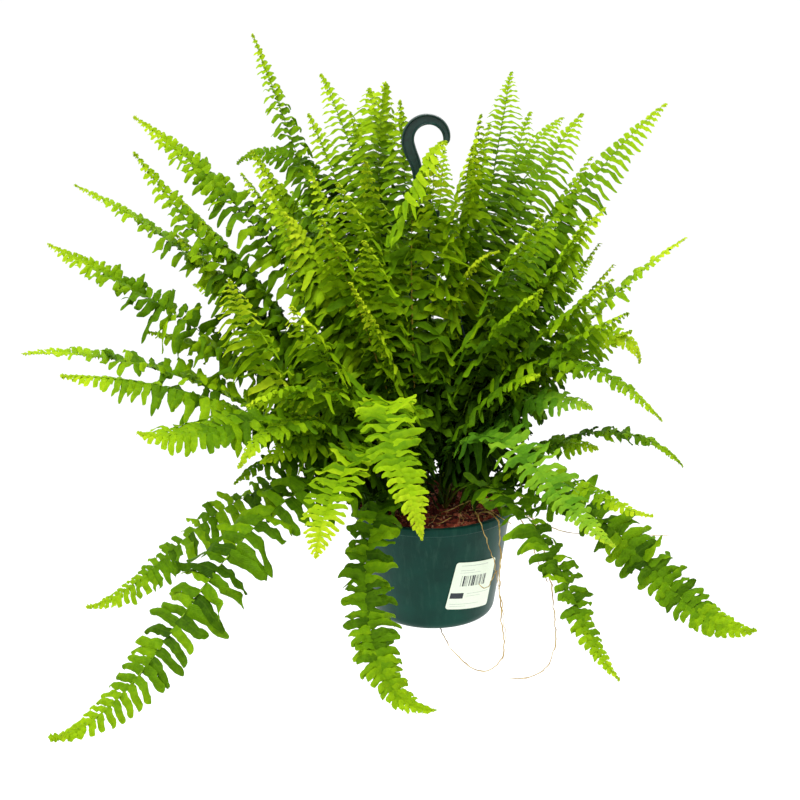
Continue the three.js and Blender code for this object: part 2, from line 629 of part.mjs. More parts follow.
// A pointed leaflet between two stations: the corners of its root, and its tip above and below
function leafletCorners(from, to, sign, size) {
  const top = sign > 0 ? 0 : 1;
  const reach = size * Math.max(from.leaf, to.leaf, 3);
  const out = from.place.side.clone().lerp(to.place.side, 0.5).multiplyScalar(sign)
    .addScaledVector(from.place.along, leafForward).add(point(0, 0, -leafFall)).normalize();
  const tip = from.corners[top].clone().lerp(to.corners[top], 0.5).addScaledVector(out, reach);
  const under = tip.clone().addScaledVector(from.place.up, -leafThick);
  return { root: [from.corners[top], to.corners[top], to.corners[keel], from.corners[keel]], tip, under };
}

function leafletTriangles({ root: [a, b, c, d], tip, under }) {
  return [[a, b, tip], [d, under, c], [b, c, under], [b, under, tip], [tip, under, d], [tip, d, a]];
}

// The same leaflet with a little air round it, for the crossing test
function swollen({ root: [a, b, c, d], tip, under }, { place }) {
  const raise = (p) => p.clone().addScaledVector(place.up, fit);
  const lower = (p) => p.clone().addScaledVector(place.up, -fit);
  return { root: [raise(a), raise(b), lower(c), lower(d)], tip: raise(tip), under: lower(under) };
}

// Leaflets that would cross a piece already in place are shortened until they are clear
function growLeaflets(owner, stations) {
  for (let i = 0; i + 1 < stations.length; i += 1) {
    const [from, to] = [stations[i], stations[i + 1]];
    from.leaflets = [null, null];
    if (!from.leafy) continue;
    [1, -1].forEach((sign, k) => {
      for (let size = 1; size > 0.12; size *= 0.8) {
        const leaflet = leafletCorners(from, to, sign, size);
        if (!isClear(owner, leafletTriangles(swollen(leaflet, from)))) continue;
        remember(owner, leafletTriangles(leaflet));
        from.leaflets[k] = leaflet;
        return;
      }
    });
  }
}

// One closed blade: the rib with its leaflets cut to it, all of one thickness
function makeFrond(stations) {
  const points = [];
  const faces = [];
  const number = (p) => points.push(p) - 1;
  const rings = stations.map(({ corners }) => corners.map(number));
  for (let i = 0; i + 1 < rings.length; i += 1) {
    const [a, b] = [rings[i], rings[i + 1]];
    faces.push([a[0], b[0], b[1]], [a[0], b[1], a[1]]);
    [0, 1].forEach((top) => {
      const leaflet = stations[i].leaflets?.[top];
      const edge = [];
      if (leaflet) {
        const [tip, under] = [number(leaflet.tip), number(leaflet.under)];
        edge.push([a[top], b[top], tip], [a[keel], under, b[keel]], [b[top], b[keel], under]);
        edge.push([b[top], under, tip], [tip, under, a[keel]], [tip, a[keel], a[top]]);
      } else {
        edge.push([b[top], b[keel], a[top]], [b[keel], a[keel], a[top]]);
      }
      faces.push(...(top === 0 ? edge.map(([p, q, r]) => [p, r, q]) : edge));
    });
  }
  const [first, last] = [rings[0], rings[rings.length - 1]];
  faces.push(first, [last[0], last[2], last[1]]);
  return bodyFrom(points, faces);
}

// The fronds of one tuft, joined at their foot
function makeTuft(tuft) {
  const blades = tuft.map(makeFrond);
  return blades.length === 1 ? blades[0] : geometryFrom(blades.map(solidFrom).reduce((a, b) => a.add(b)));
}

// The plain hole that a tuft's stalks stand in: the rectangle round them with clearance, to above the soil
function stemHole(tuft) {
  const wayOf = ([from, to]) => point(0, 0, 0).subVectors(to.place.at, from.place.at).normalize();
  const foot = tuft[0][0].place;
  const axis = wayOf(tuft[0]);
  const section = (distance) => {
    const corners = tuft.flatMap((stations) => {
      const { at, side, up } = stations[0].place;
      const way = wayOf(stations);
      const moved = at.clone().addScaledVector(way, distance / way.dot(axis)).addScaledVector(up, fit);
      return ribCorners({ at: moved, side, up }, stalk.width + 2 * fit, stalk.thick + 2 * fit);
    });
    const middle = foot.at.clone().addScaledVector(axis, distance);
    const reach = (way, sign) => {
      const distances = corners.map((p) => sign * p.clone().sub(middle).dot(way));
      return sign * Math.max(...distances);
    };
    const corner = (i, j) => middle.clone()
      .addScaledVector(foot.side, reach(foot.side, i)).addScaledVector(foot.up, reach(foot.up, j));
    return [corner(1, 1), corner(-1, 1), corner(-1, -1), corner(1, -1)];
  };
  return solidFrom(loft([section(-1), section(stalk.holeLength)]));
}

// The same for a runner, along the first of its own steps
function runnerHole(route) {
  const path = runnerPath(route).slice(0, 3);
  path.unshift(path[0].clone().lerp(path[1], -0.1));
  return solidFrom(tube(path, path.map(() => runnerRadius + fit + 0.1), runnerSides));
}

const finishes = {
  pot: { color: "#245046", roughness: 0.38, metalness: 0 },
  soil: { color: "#5a2a1c", roughness: 0.95, metalness: 0 },
  hanger: { color: "#1b3a33", roughness: 0.42, metalness: 0 },
  paper: { color: "#e9e8dc", roughness: 0.8, metalness: 0 },
  runner: { color: "#a9a06a", roughness: 0.7, metalness: 0 },
  leaf: { color: "#6fa322", roughness: 0.6, metalness: 0 },
};

const plant = new THREE.Group();
plant.position.z = -saddleHeight;

function place(name, geometry, finish) {
  geometry.computeVertexNormals();
  const mesh = new THREE.Mesh(geometry, new THREE.MeshStandardMaterial({ ...finish, flatShading: true }));
  mesh.name = name;
  plant.add(mesh);
  remember(name, trianglesOf(geometry));
}

place("pot", makePot(), finishes.pot);
place("hook", makeHook(), finishes.hanger);
strand.headings.forEach((heading, k) => place(`strand_${k + 1}`, makeStrand(heading), finishes.hanger));
place("label", makeLabel(), finishes.paper);
runnerRoutes.forEach((route, k) => place(`runner_${k + 1}`, makeRunner(route), finishes.runner));

// All the ribs take their room first, then the leaflets grow into what is left
const frondName = (k) => `frond_${String(k + 1).padStart(2, "0")}`;
const tufts = fronds.map((frond, k) => {
  const first = clearSkeleton(frondName(k), frond);
  const others = seconds.filter(({ tuft }) => tuft === k + 1);
  return [first, ...others.map((second) => clearSkeleton(frondName(k), second, first[0].place.at))];
});
place("soil", makeSoil([...tufts.map(stemHole), ...runnerRoutes.map(runnerHole)]), finishes.soil);
tufts.forEach((tuft, k) => tuft.forEach((stations, i) => growLeaflets(`${frondName(k)} ${i}`, stations)));
tufts.forEach((tuft, k) => place(frondName(k), makeTuft(tuft), finishes.leaf));

const part = new THREE.Group();
part.add(plant);

export default part;
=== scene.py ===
import math

import bmesh
import bpy
import numpy as np
from mathutils import Matrix, Vector


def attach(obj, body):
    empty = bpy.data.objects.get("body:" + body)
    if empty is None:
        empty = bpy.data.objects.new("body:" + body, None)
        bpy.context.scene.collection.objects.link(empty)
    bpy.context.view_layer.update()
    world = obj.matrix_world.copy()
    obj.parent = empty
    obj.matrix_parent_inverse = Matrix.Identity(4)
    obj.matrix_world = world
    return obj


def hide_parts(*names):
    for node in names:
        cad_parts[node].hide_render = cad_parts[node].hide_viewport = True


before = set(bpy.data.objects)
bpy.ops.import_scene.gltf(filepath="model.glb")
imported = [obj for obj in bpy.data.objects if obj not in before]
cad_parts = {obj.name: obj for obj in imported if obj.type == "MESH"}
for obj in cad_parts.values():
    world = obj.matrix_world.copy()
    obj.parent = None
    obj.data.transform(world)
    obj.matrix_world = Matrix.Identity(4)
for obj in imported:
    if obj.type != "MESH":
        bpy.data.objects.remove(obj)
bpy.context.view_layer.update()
mm = 0.001
saddleHeight = 596.0  # the origin's height above the pot's underside, mm
print("frame loaded, nodes:", len(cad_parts))


# Camera, light and floor

def addObject(name, data):
    made = bpy.data.objects.new(name, data)
    bpy.context.scene.collection.objects.link(made)
    return made


camera = {
    "place": (-0.038, -1.700, 0.161),
    "pitch": 16.0,  # degrees below level
    "roll": -1.0,
    "focal": 1470 / 800,  # of the sensor's width
    "sensor": 36,  # mm
    "reach": 1500,  # past the floor's edge
}


def makeCamera():
    data = bpy.data.cameras.new("camera")
    data.sensor_width = camera["sensor"]
    data.lens = camera["sensor"] * camera["focal"]
    data.clip_end = camera["reach"]
    cam = addObject("camera", data)
    tilt = Matrix.Rotation(math.radians(90 - camera["pitch"]), 4, "X")
    roll = Matrix.Rotation(math.radians(camera["roll"]), 4, "Z")
    cam.matrix_world = Matrix.Translation(camera["place"]) @ tilt @ roll
    bpy.context.scene.camera = cam


studio = {
    "floorHeight": -1.75,
    "floorReach": 600.0,
    "world": 1.04,
    "aim": (0, 0, -0.35),  # of every lamp
    "lamps": {
        "key": {"place": (-0.9, -1.3, 2.6), "size": 2.0, "power": 102},
        "side": {"place": (2.4, -0.9, 0.9), "size": 1.8, "power": 16},
        "back": {"place": (0.4, 2.4, 1.6), "size": 1.8, "power": 34},
    },
}


def linear(hexColour):
    # sRGB hex to linear: c/12.92 up to 0.04045, else ((c + 0.055)/1.055)^2.4
    srgb = [int(hexColour[i:i + 2], 16) / 255 for i in (1, 3, 5)]
    return [c / 12.92 if c <= 0.04045 else ((c + 0.055) / 1.055) ** 2.4 for c in srgb] + [1.0]


def addNode(tree, kind, settings=None, links=None):
    # kind: its type in Blender, without the ShaderNode that all of them start with
    # settings: a socket's number or name, the node's own property, or a ramp's stops, and its value
    # links: the new node's socket, and the socket or node (for its first output) that feeds it
    node = tree.nodes.new("ShaderNode" + kind)
    for key, value in (settings or {}).items():
        if key == "stops":
            setRamp(node.color_ramp, value)
        elif isinstance(key, int) or key in node.inputs:
            node.inputs[key].default_value = value
        else:
            setattr(node, key, value)
    for key, source in (links or {}).items():
        tree.links.new(source.outputs[0] if isinstance(source, bpy.types.Node) else source, node.inputs[key])
    return node


def startMaterial(name):
    # a material, its empty node tree, and its Object coordinates
    made = bpy.data.materials.new(name)
    made.use_nodes = True
    made.node_tree.nodes.clear()
    return made, made.node_tree, addNode(made.node_tree, "TexCoord").outputs["Object"]


def finishMaterial(made, surface):
    addNode(made.node_tree, "OutputMaterial", links={"Surface": surface})
    return made


def setRamp(ramp, stops):
    while len(ramp.elements) < len(stops):
        ramp.elements.new(0.5)
    for element, (at, colour) in zip(ramp.elements, stops):
        element.position = at
        element.color = linear(colour)


def addSkin(tree, colour, height, bump, coat, rough=None):
    # the surface: bump is the strength and depth (m) that the height gets, coat the finish's own settings
    links = {"Base Color": colour}
    if bump:
        settings = {"Strength": bump[0], "Distance": bump[1]}
        links["Normal"] = addNode(tree, "Bump", settings, {"Height": height}).outputs[0]
    if rough:
        links["Roughness"] = rough.outputs[0]
    return addNode(tree, "BsdfPrincipled", coat, links)


def shiftBy(tree, source, noise, amount):
    # source + amount (noise - 1/2)
    settings = {"operation": "MULTIPLY_ADD", 1: amount, 2: -amount / 2}
    shift = addNode(tree, "Math", settings, {0: noise})
    return addNode(tree, "Math", {"operation": "ADD"}, {0: source, 1: shift})


def makeFlecked(name, noise, stops, bump, coat, rough=None):
    # One noise of the given scale and detail runs the colour through the stops and is the bump too; rough is
    # the roughness where the noise is low and where it is high
    made, tree, place = startMaterial(name)
    fleck = addNode(tree, "TexNoise", {"Scale": noise[0], "Detail": noise[1]}, {"Vector": place})
    colour = addNode(tree, "ValToRGB", {"stops": stops}, {"Fac": fleck})
    if rough:
        rough = addNode(tree, "MapRange", {"To Min": rough[0], "To Max": rough[1]}, {"Value": fleck})
    return finishMaterial(made, addSkin(tree, colour, fleck, bump, coat, rough))


def makeStudio():
    scene = bpy.context.scene
    scene.view_settings.view_transform = "Standard"
    world = bpy.data.worlds.new("softbox")
    world.use_nodes = True
    background = world.node_tree.nodes["Background"].inputs
    background["Color"].default_value = linear("#ffffff")
    background["Strength"].default_value = studio["world"]
    scene.world = world
    for name, lamp in studio["lamps"].items():
        data = bpy.data.lights.new(name, "AREA")
        data.shape = "DISK"
        data.size = lamp["size"]
        data.energy = lamp["power"]
        aim = Vector(studio["aim"]) - Vector(lamp["place"])
        turn = aim.to_track_quat("-Z", "Y").to_matrix().to_4x4()
        addObject(name, data).matrix_world = Matrix.Translation(lamp["place"]) @ turn


def makeFloor():
    r, low = studio["floorReach"], studio["floorHeight"]
    mesh = bpy.data.meshes.new("floor")
    mesh.from_pydata([(-r, -r, low), (r, -r, low), (r, r, low), (-r, r, low)], [], [(0, 1, 2, 3)])
    # Matte white floor paint: a plain pale ground that takes soft shadows
    white = [(0.0, "#fcfcfc"), (1.0, "#fefefe")]
    coat = {"Roughness": 0.95, "Specular IOR Level": 0.05}
    mesh.materials.append(makeFlecked("matte white floor paint", (3.0, 2.0), white, None, coat))
    addObject("floor", mesh)


makeCamera()
makeStudio()
makeFloor()
print("camera, light and floor")


# Meshes from grids of points

def meshPiece(name, grid, materials, replaces=None, sharp=None, closed=True, slots=None,
              attributes=None):
    # grid: points in mm above the pot's underside, and faces; sharp: edges over this angle stay sharp
    # slots: each face's material; attributes: name to values, one or three for each point
    points, faces = grid
    place = np.asarray(points, float).reshape(-1, 3).copy()
    place[:, 2] -= saddleHeight
    mesh = bpy.data.meshes.new(name)
    mesh.from_pydata(place * mm, [], faces)
    for material in materials:
        mesh.materials.append(material)
    if slots is not None:
        mesh.polygons.foreach_set("material_index", np.asarray(slots, np.int32))
    for key, values in (attributes or {}).items():
        flat = np.asarray(values, np.float32)
        kind, field = ("FLOAT", "value") if flat.ndim == 1 else ("FLOAT_VECTOR", "vector")
        mesh.attributes.new(key, kind, "POINT").data.foreach_set(field, flat.ravel())
    work = bmesh.new()
    work.from_mesh(mesh)
    bmesh.ops.remove_doubles(work, verts=work.verts, dist=2e-6)
    if closed:
        bmesh.ops.recalc_face_normals(work, faces=work.faces)
    work.to_mesh(mesh)
    work.free()
    mesh.shade_smooth()
    if sharp is not None:
        mesh.set_sharp_from_angle(angle=math.radians(sharp))
    piece = addObject(name, mesh)
    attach(piece, "root")
    if replaces:
        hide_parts(replaces)
    return piece


def gridFaces(rows, columns, wrap=False):
    # quads of a grid of rows by columns of points, numbered row by row
    i, j = np.meshgrid(np.arange(rows - 1), np.arange(columns if wrap else columns - 1), indexing="ij")
    a = i * columns + j
    b = i * columns + (j + 1) % columns
    return np.stack([a, b, b + columns, a + columns], -1).reshape(-1, 4)


def cappedFaces(rows, columns):
    # a grid closed round, with a flat face at either end
    ring = np.arange(columns)
    ends = [ring[::-1].tolist(), (ring + (rows - 1) * columns).tolist()]
    return gridFaces(rows, columns, wrap=True).tolist() + ends


def joinGrids(grids):
    # several (points, faces) as one, the faces renumbered
    starts = np.cumsum([0] + [len(points) for points, _ in grids[:-1]])
    faces = [[start + k for k in face] for start, (_, part) in zip(starts, grids) for face in part]
    return np.vstack([points for points, _ in grids]), faces


def smoothstep(low, high, x):
    t = np.clip((x - low) / (high - low), 0, 1)
    return t * t * (3 - 2 * t)


def rounded(x, low=0.0):
    # a quarter circle, from low at x = 0 to 1 at x = 1
    return np.sqrt(np.clip(1 - np.clip(1 - x, 0, 1) ** 2, low, 1))


def unit(v):
    return v / np.maximum(np.linalg.norm(v, axis=-1, keepdims=True), 1e-9)


def polar(heading, ring, height):
    # a point by its heading in degrees (0 is the right, 270 the front), distance from the axis and height
    a = np.radians(heading)
    return np.stack(np.broadcast_arrays(ring * np.cos(a), ring * np.sin(a), height), -1)


def turnedGrid(profile, sides):
    # a profile of (radius, height) turned once round the axis
    profile = np.asarray(profile, float)
    heading = np.arange(sides) * 360 / sides
    points = polar(heading[None], profile[:, :1], profile[:, 1:])
    return points.reshape(-1, 3), gridFaces(len(profile), sides, wrap=True).tolist()


def roundedProfile(corners, steps=6):
    # (radius, height, rounding): each corner is the parabola a(1-t)^2 + 2 corner t(1-t) + b t^2 between the
    # points at its rounding's distance before and after it; the first and last corner stay sharp
    corners = np.asarray(corners, float)
    p, d = corners[:, :2], corners[1:-1, 2:]
    a = p[1:-1] + unit(p[:-2] - p[1:-1]) * d
    b = p[1:-1] + unit(p[2:] - p[1:-1]) * d
    t = np.linspace(0, 1, steps)[None, :, None]
    bends = a[:, None] * (1 - t) ** 2 + 2 * p[1:-1][:, None] * t * (1 - t) + b[:, None] * t**2
    return np.vstack([p[:1], bends.reshape(-1, 2), p[-1:]])


def tubeGrid(path, radii, sides):
    # circles round a path, square to it: path + r (cos a first + sin a second), with flat ends; the first
    # direction is carried along the path, so that the tube doesn't twist
    path = np.asarray(path, float)
    along = unit(np.gradient(path, axis=0))
    start = [0.0, 1.0, 0.0] if abs(along[0, 2]) > 0.95 else [0.0, 0.0, 1.0]
    first = np.empty_like(along)
    first[0] = unit(np.cross(start, along[0]))
    for i in range(1, len(path)):
        first[i] = unit(first[i - 1] - along[i] * np.dot(first[i - 1], along[i]))
    second = np.cross(along, first)
    a = np.linspace(0, 2 * math.pi, sides, endpoint=False)[None, :, None]
    ring = np.cos(a) * first[:, None] + np.sin(a) * second[:, None]
    points = path[:, None] + np.broadcast_to(radii, len(path))[:, None, None] * ring
    return points.reshape(-1, 3), cappedFaces(len(path), sides)


def splinePath(points, count):
    # a Catmull-Rom curve through the points, at count places evenly spaced along it
    p = np.asarray(points, float)
    p = np.vstack([2 * p[0] - p[1], p, 2 * p[-1] - p[-2]])
    a, b, c, d = (p[k:len(p) - 3 + k][:, None] for k in range(4))
    t = np.linspace(0, 1, 24, endpoint=False)[None, :, None]
    fine = 0.5 * (2 * b + (c - a) * t + (2 * a - 5 * b + 4 * c - d) * t**2 + (3 * b - a - 3 * c + d) * t**3)
    fine = np.vstack([fine.reshape(-1, p.shape[1]), p[-2]])
    reach = np.concatenate([[0], np.cumsum(np.linalg.norm(np.diff(fine, axis=0), axis=1))])
    at = np.linspace(0, reach[-1], count)
    return np.stack([np.interp(at, reach, fine[:, k]) for k in range(p.shape[1])], -1)


# The pot

pot = {
    "height": 140.0, "band": 10.0, "rimRadius": 100.0, "rimRound": 1.7,  # mm
    "wallTop": 95.0, "footRadius": 75.0, "footHeight": 9.0, "wall": 2.2,
    "floorThick": 2.5, "floorOuter": 54.0, "floorInner": 28.0,  # the ring that the drain holes are in
    "holes": 6, "holeRing": 42.0, "holeRadius": 5.0, "sides": 96,
}
bandFoot = pot["height"] - pot["band"]  # height of the rim band's lower edge


def wallRadius(height):
    # outside of the pot wall at a height, a straight line from the foot to under the band
    share = (height - pot["footHeight"]) / (bandFoot - pot["footHeight"])
    return pot["footRadius"] + (pot["wallTop"] - pot["footRadius"]) * share


def floorSector(heading):
    # One drain hole's share of the floor: straight lines from the hole's circle to the edge of its sector,
    # below and above, joined by the hole's wall
    half = 180 / pot["holes"]
    arc = np.linspace(-half, half, pot["sides"] // pot["holes"] + 1)[:-1]
    step = np.linspace(0, 1, 7)[:-1]
    outer, inner = pot["floorOuter"], pot["floorInner"]
    headings = np.concatenate([arc, 0 * step + half, -arc, 0 * step - half]) + heading
    rings = np.concatenate([0 * arc + outer, outer + (inner - outer) * step,
                            0 * arc + inner, inner + (outer - inner) * step])
    edge = polar(headings, rings, 0.0)
    centre = polar(heading, pot["holeRing"], 0.0)
    hole = centre + pot["holeRadius"] * unit(edge - centre)
    up = np.array([0, 0, pot["floorThick"]])
    rows = np.stack([edge, (edge + hole) / 2, hole, hole + up, (edge + hole) / 2 + up, edge + up])
    return rows.reshape(-1, 3), gridFaces(len(rows), len(edge), wrap=True).tolist()


def makePot():
    low, top, rim, wall = bandFoot, pot["height"], pot["rimRadius"], pot["wallTop"]
    foot, deep, thick = pot["footRadius"], pot["floorThick"], pot["wall"]
    shell = roundedProfile([
        (pot["floorOuter"], 0, 0), (foot - 1.6, 0, 11), (wall, low - 0.4, 1.2), (rim, low + 0.8, 1.6),
        (rim, top, pot["rimRound"]), (wall - thick, top, 1.2), (wall - thick, low, 3),
        (foot - thick - 1.6, deep, 8), (pot["floorOuter"], deep, 0),
    ])
    inner = pot["floorInner"]
    centre = [(inner, 0), (inner / 2, 0), (0.01, 0), (0.01, deep), (inner / 2, deep), (inner, deep)]
    grids = [turnedGrid(shell, pot["sides"]), turnedGrid(centre, pot["sides"])]
    grids += [floorSector(360 / pot["holes"] * (k + 0.5)) for k in range(pot["holes"])]
    meshPiece("pot_shell", joinGrids(grids), [makePotMaterial()], "pot", sharp=40)


def makePotMaterial():
    # Injection-moulded polypropylene, dark blue-green: smooth soft gloss with a faint moulding ripple, and
    # pale dust and water marks, with painted light as well: the marks fade by height towards the foot, so the
    # wall is paler under the rim and darker low down
    made, tree, place = startMaterial("moulded polypropylene, dark blue-green")
    cloud = addNode(tree, "TexNoise", {"Scale": 26.0, "Detail": 3.0}, {"Vector": place})  # 40 mm across
    green = addNode(tree, "ValToRGB", {"stops": [(0.3, "#012f27"), (0.7, "#023d32")]}, {"Fac": cloud})
    upright = addNode(tree, "Mapping", {"Scale": (1.0, 1.0, 0.16)}, {0: place})
    streak = addNode(tree, "TexNoise", {"Scale": 150.0, "Detail": 4.0, "Roughness": 0.7},
                     {"Vector": upright})  # marks 6 mm wide and 40 mm long
    marks = addNode(tree, "MapRange", {"From Min": 0.5, "From Max": 0.8, "To Max": 0.4}, {"Value": streak})
    parts = addNode(tree, "SeparateXYZ", links={0: place})
    # painted light: the marks are strongest under the rim and fade towards the foot, so the upper wall looks
    # lit and the lower wall shaded
    paintedTopLight = addNode(tree, "MapRange", {"From Min": -0.58, "From Max": -0.47, "To Min": 0.35},
                    {"Value": parts.outputs["Z"]})
    dustAndPaintedLight = addNode(tree, "Math", {"operation": "MULTIPLY"}, {0: marks, 1: paintedTopLight})
    dustyLitGreen = addNode(tree, "Mix", {"data_type": "RGBA", 7: linear("#3a5f50")}, {0: dustAndPaintedLight, 6: green})
    rough = addNode(tree, "MapRange", {"To Min": 0.26, "To Max": 0.46}, {"Value": streak})
    peel = addNode(tree, "TexNoise", {"Scale": 420.0, "Detail": 1.0}, {"Vector": place})
    coat = {"IOR": 1.49, "Specular IOR Level": 0.12}
    return finishMaterial(made, addSkin(tree, dustyLitGreen.outputs[2], peel, (0.12, 0.0004), coat, rough))


makePot()
print("pot")


# The soil, with crumbs and root fibres on it

soil = {
    "edge": 135.0, "crown": 139.0, "radius": 92.5, "rings": 72, "columns": 200,
    "mound": 92.8, "waves": 70, "longest": 36, "shortest": 4, "lump": 1.7,  # mm
    "crumbs": 520, "crumbRing": (8, 90), "fibres": 46, "fibreRing": (20, 84), "fibreReach": 89,
    "fibreLength": (12, 38), "fibreBow": 14, "seed": 41,
}


def soilHeight(ring):
    # edge + (crown - edge) (1 - (r / mound)^3), mm
    return soil["edge"] + (soil["crown"] - soil["edge"]) * (1 - np.minimum(ring / soil["mound"], 1.0) ** 3)


def soilLumps(x, y):
    # a sum of plane waves from the longest to the shortest, each with its height by its length^0.8
    random = np.random.default_rng(soil["seed"])
    length = soil["longest"] * (soil["shortest"] / soil["longest"]) ** np.linspace(0, 1, soil["waves"])
    turn = random.uniform(0, 2 * math.pi, (2, soil["waves"]))
    phase = (x[..., None] * np.cos(turn[0]) + y[..., None] * np.sin(turn[0])) * 2 * math.pi / length + turn[1]
    wave = np.sin(phase) * (length / soil["longest"]) ** 0.8
    return soil["lump"] * wave.sum(-1) / math.sqrt(soil["waves"] / 5)


def soilSurface(x, y):
    ring = np.hypot(x, y)
    return soilHeight(ring) + soilLumps(x, y) * (1 - 0.6 * smoothstep(84, soil["radius"], ring))


def makeSoil():
    inner = pot["wallTop"] - pot["wall"] - 0.3
    foot = pot["footRadius"] - pot["wall"] - 0.6
    low = pot["floorThick"] + 0.3
    # from the middle of the underside out and up to the edge, with a little room inside the pot
    below = np.array([(0.01, low), (55, low), (foot, pot["footHeight"] + 2), (inner, bandFoot),
                      (inner, 132.5)])
    rings = soil["radius"] * (1 - np.linspace(0, 1, soil["rings"]) ** 1.15) + 0.01
    heading = np.arange(soil["columns"]) * 360 / soil["columns"]
    top = polar(heading[None], rings[:, None], 0.0)
    top[..., 2] = soilSurface(top[..., 0], top[..., 1])
    under = polar(heading[None], below[:, :1], below[:, 1:])
    points = np.concatenate([under, top])
    faces = gridFaces(len(points), soil["columns"], wrap=True).tolist()
    meshPiece("soil_bed", (points, faces), [soilMaterial], "soil")


def onSoil(random, count, rings):
    # random places on the soil between two distances from the axis, even in area
    ring = np.sqrt(random.uniform(rings[0] ** 2, rings[1] ** 2, count))
    place = polar(random.uniform(0, 360, count), ring, 0.0)
    place[:, 2] = soilSurface(place[:, 0], place[:, 1])
    return place


def makeCrumbs():
    # each crumb is an icosahedron whose 12 points are pushed in and out and stretched by chance
    random = np.random.default_rng(soil["seed"] + 1)
    gold = (1 + math.sqrt(5)) / 2
    base = unit(np.array([np.roll((s, t * gold, 0), k) for k in range(3) for s in (-1, 1) for t in (-1, 1)]))
    near = np.argsort(np.linalg.norm(base[:, None] - base[None], axis=-1), axis=1)[:, 1:6]
    faces = sorted({tuple(sorted((i, int(j), int(k)))) for i in range(12) for j in near[i] for k in near[i]
                    if j != k and k in near[j]})
    count = soil["crumbs"]
    size = 0.7 + 2.6 * random.uniform(0, 1, count) ** 2.5
    shape = base[None] * random.uniform(0.7, 1.15, (count, 12, 1)) * random.uniform(0.6, 1.35, (count, 1, 3))
    points = onSoil(random, count, soil["crumbRing"])[:, None] + shape * size[:, None, None]
    allFaces = (np.array(faces)[None] + np.arange(count)[:, None, None] * 12).reshape(-1, 3)
    tone = np.repeat(random.uniform(0, 1, count) ** 1.6, 12)
    grid = (points, allFaces.tolist())
    meshPiece("soil_crumbs", grid, [crumbMaterial], attributes={"crumbTone": tone})


def makeFibres():
    # root fibres: short arcs that lie on the soil, place + L u along + 2 bow (u - u^2) across, at its height
    random = np.random.default_rng(soil["seed"] + 2)
    grids = []
    for place in onSoil(random, soil["fibres"], soil["fibreRing"]):
        u = np.linspace(0, 1, 12)
        turn = random.uniform(0, 2 * math.pi)
        length, bow = random.uniform(*soil["fibreLength"]), random.uniform(-1, 1) * soil["fibreBow"]
        x = place[0] + length * u * math.cos(turn) - bow * 2 * (u - u * u) * math.sin(turn)
        y = place[1] + length * u * math.sin(turn) + bow * 2 * (u - u * u) * math.cos(turn)
        shrink = np.minimum(1, soil["fibreReach"] / np.maximum(np.hypot(x, y), 1e-6))
        x, y = x * shrink, y * shrink
        z = soilSurface(x, y) + 0.7 * np.sin(math.pi * u) + random.uniform(-0.2, 0.5)
        grids.append(tubeGrid(np.stack([x, y, z], -1), random.uniform(0.22, 0.5) * (1 - 0.6 * u), 5))
    meshPiece("soil_fibres", joinGrids(grids), [runnerMaterial])


def makeSoilMaterial(name, stops, attribute=None):
    # Peat and bark potting mix, damp and red-brown: quite matte and crumbly, with painted shade in its
    # hollows, and fibrous lighter flecks
    made, tree, place = startMaterial(name)
    fine = addNode(tree, "TexNoise", {"Scale": 520.0, "Detail": 4.0, "Roughness": 0.7},
                   {"Vector": place})  # grains of 2 mm
    clods = addNode(tree, "TexVoronoi", {"Scale": 190.0}, {"Vector": place})  # crumbs of 5 mm
    if attribute:
        tone = addNode(tree, "Attribute", {"attribute_name": attribute}).outputs["Fac"]
    else:
        tone = addNode(tree, "SeparateColor", links={0: clods.outputs["Color"]})
    # painted shade: the grain noise that sinks the bump also darkens the colour, so the hollows are darker
    colour = addNode(tree, "ValToRGB", {"stops": stops}, {"Fac": shiftBy(tree, tone, fine, 0.7)})
    height = addNode(tree, "Math", {"operation": "SUBTRACT"}, {0: fine, 1: clods})
    coat = {"Roughness": 0.93, "Specular IOR Level": 0.18}
    return finishMaterial(made, addSkin(tree, colour, height, (0.9, 0.0014), coat))


soilMaterial = makeSoilMaterial("peat potting mix", [
    (0.0, "#2a0f0b"), (0.35, "#571f17"), (0.65, "#7c3021"), (0.9, "#9a4a33"), (1.0, "#b67a5c")])
crumbMaterial = makeSoilMaterial("bark and peat crumbs", [
    (0.0, "#3c1610"), (0.45, "#6e2b1e"), (0.75, "#965038"), (1.0, "#c09272")], "crumbTone")
# Fern runner: a dry wiry stem, straw-coloured, satin, with brown scaly patches
runnerMaterial = makeFlecked(
    "wiry fern runner", (130.0, 3.0), [(0.3, "#7c5c26"), (0.48, "#ae9048"), (0.7, "#ccb474")],
    (0.4, 0.0003), {"Roughness": 0.6, "Specular IOR Level": 0.25})
makeSoil()
makeCrumbs()
makeFibres()
print("soil, crumbs and fibres")


# The hanger: a moulded hook on a hub, and three strands to the rim

hook = {
    "throat": 16.5, "tip": 6.5, "crown": 12.5, "back": 15.0, "shank": 9.5, "width": 10.0,
    "flange": 2.4, "web": 3.6, "corner": 1.1,  # mm
    "from": -18, "to": 190, "step": 16,  # degrees round the crook
    # the shank's bends below the crook's centre, as across and up
    "bends": [(-20.6, -15), (-16.4, -25), (-13.6, -36), (-12.2, -48), (-8.6, -60), (-3, -70), (0, -80),
              (0, -88)],
    "stations": 150,
    "hubDrop": 102.0, "hubRadius": 12.0, "hubHeight": 10.0, "socketRing": 6.0, "socketDepth": 6.0,
}
hubLow = saddleHeight - hook["hubDrop"] - hook["hubHeight"] / 2  # height of the hub's underside


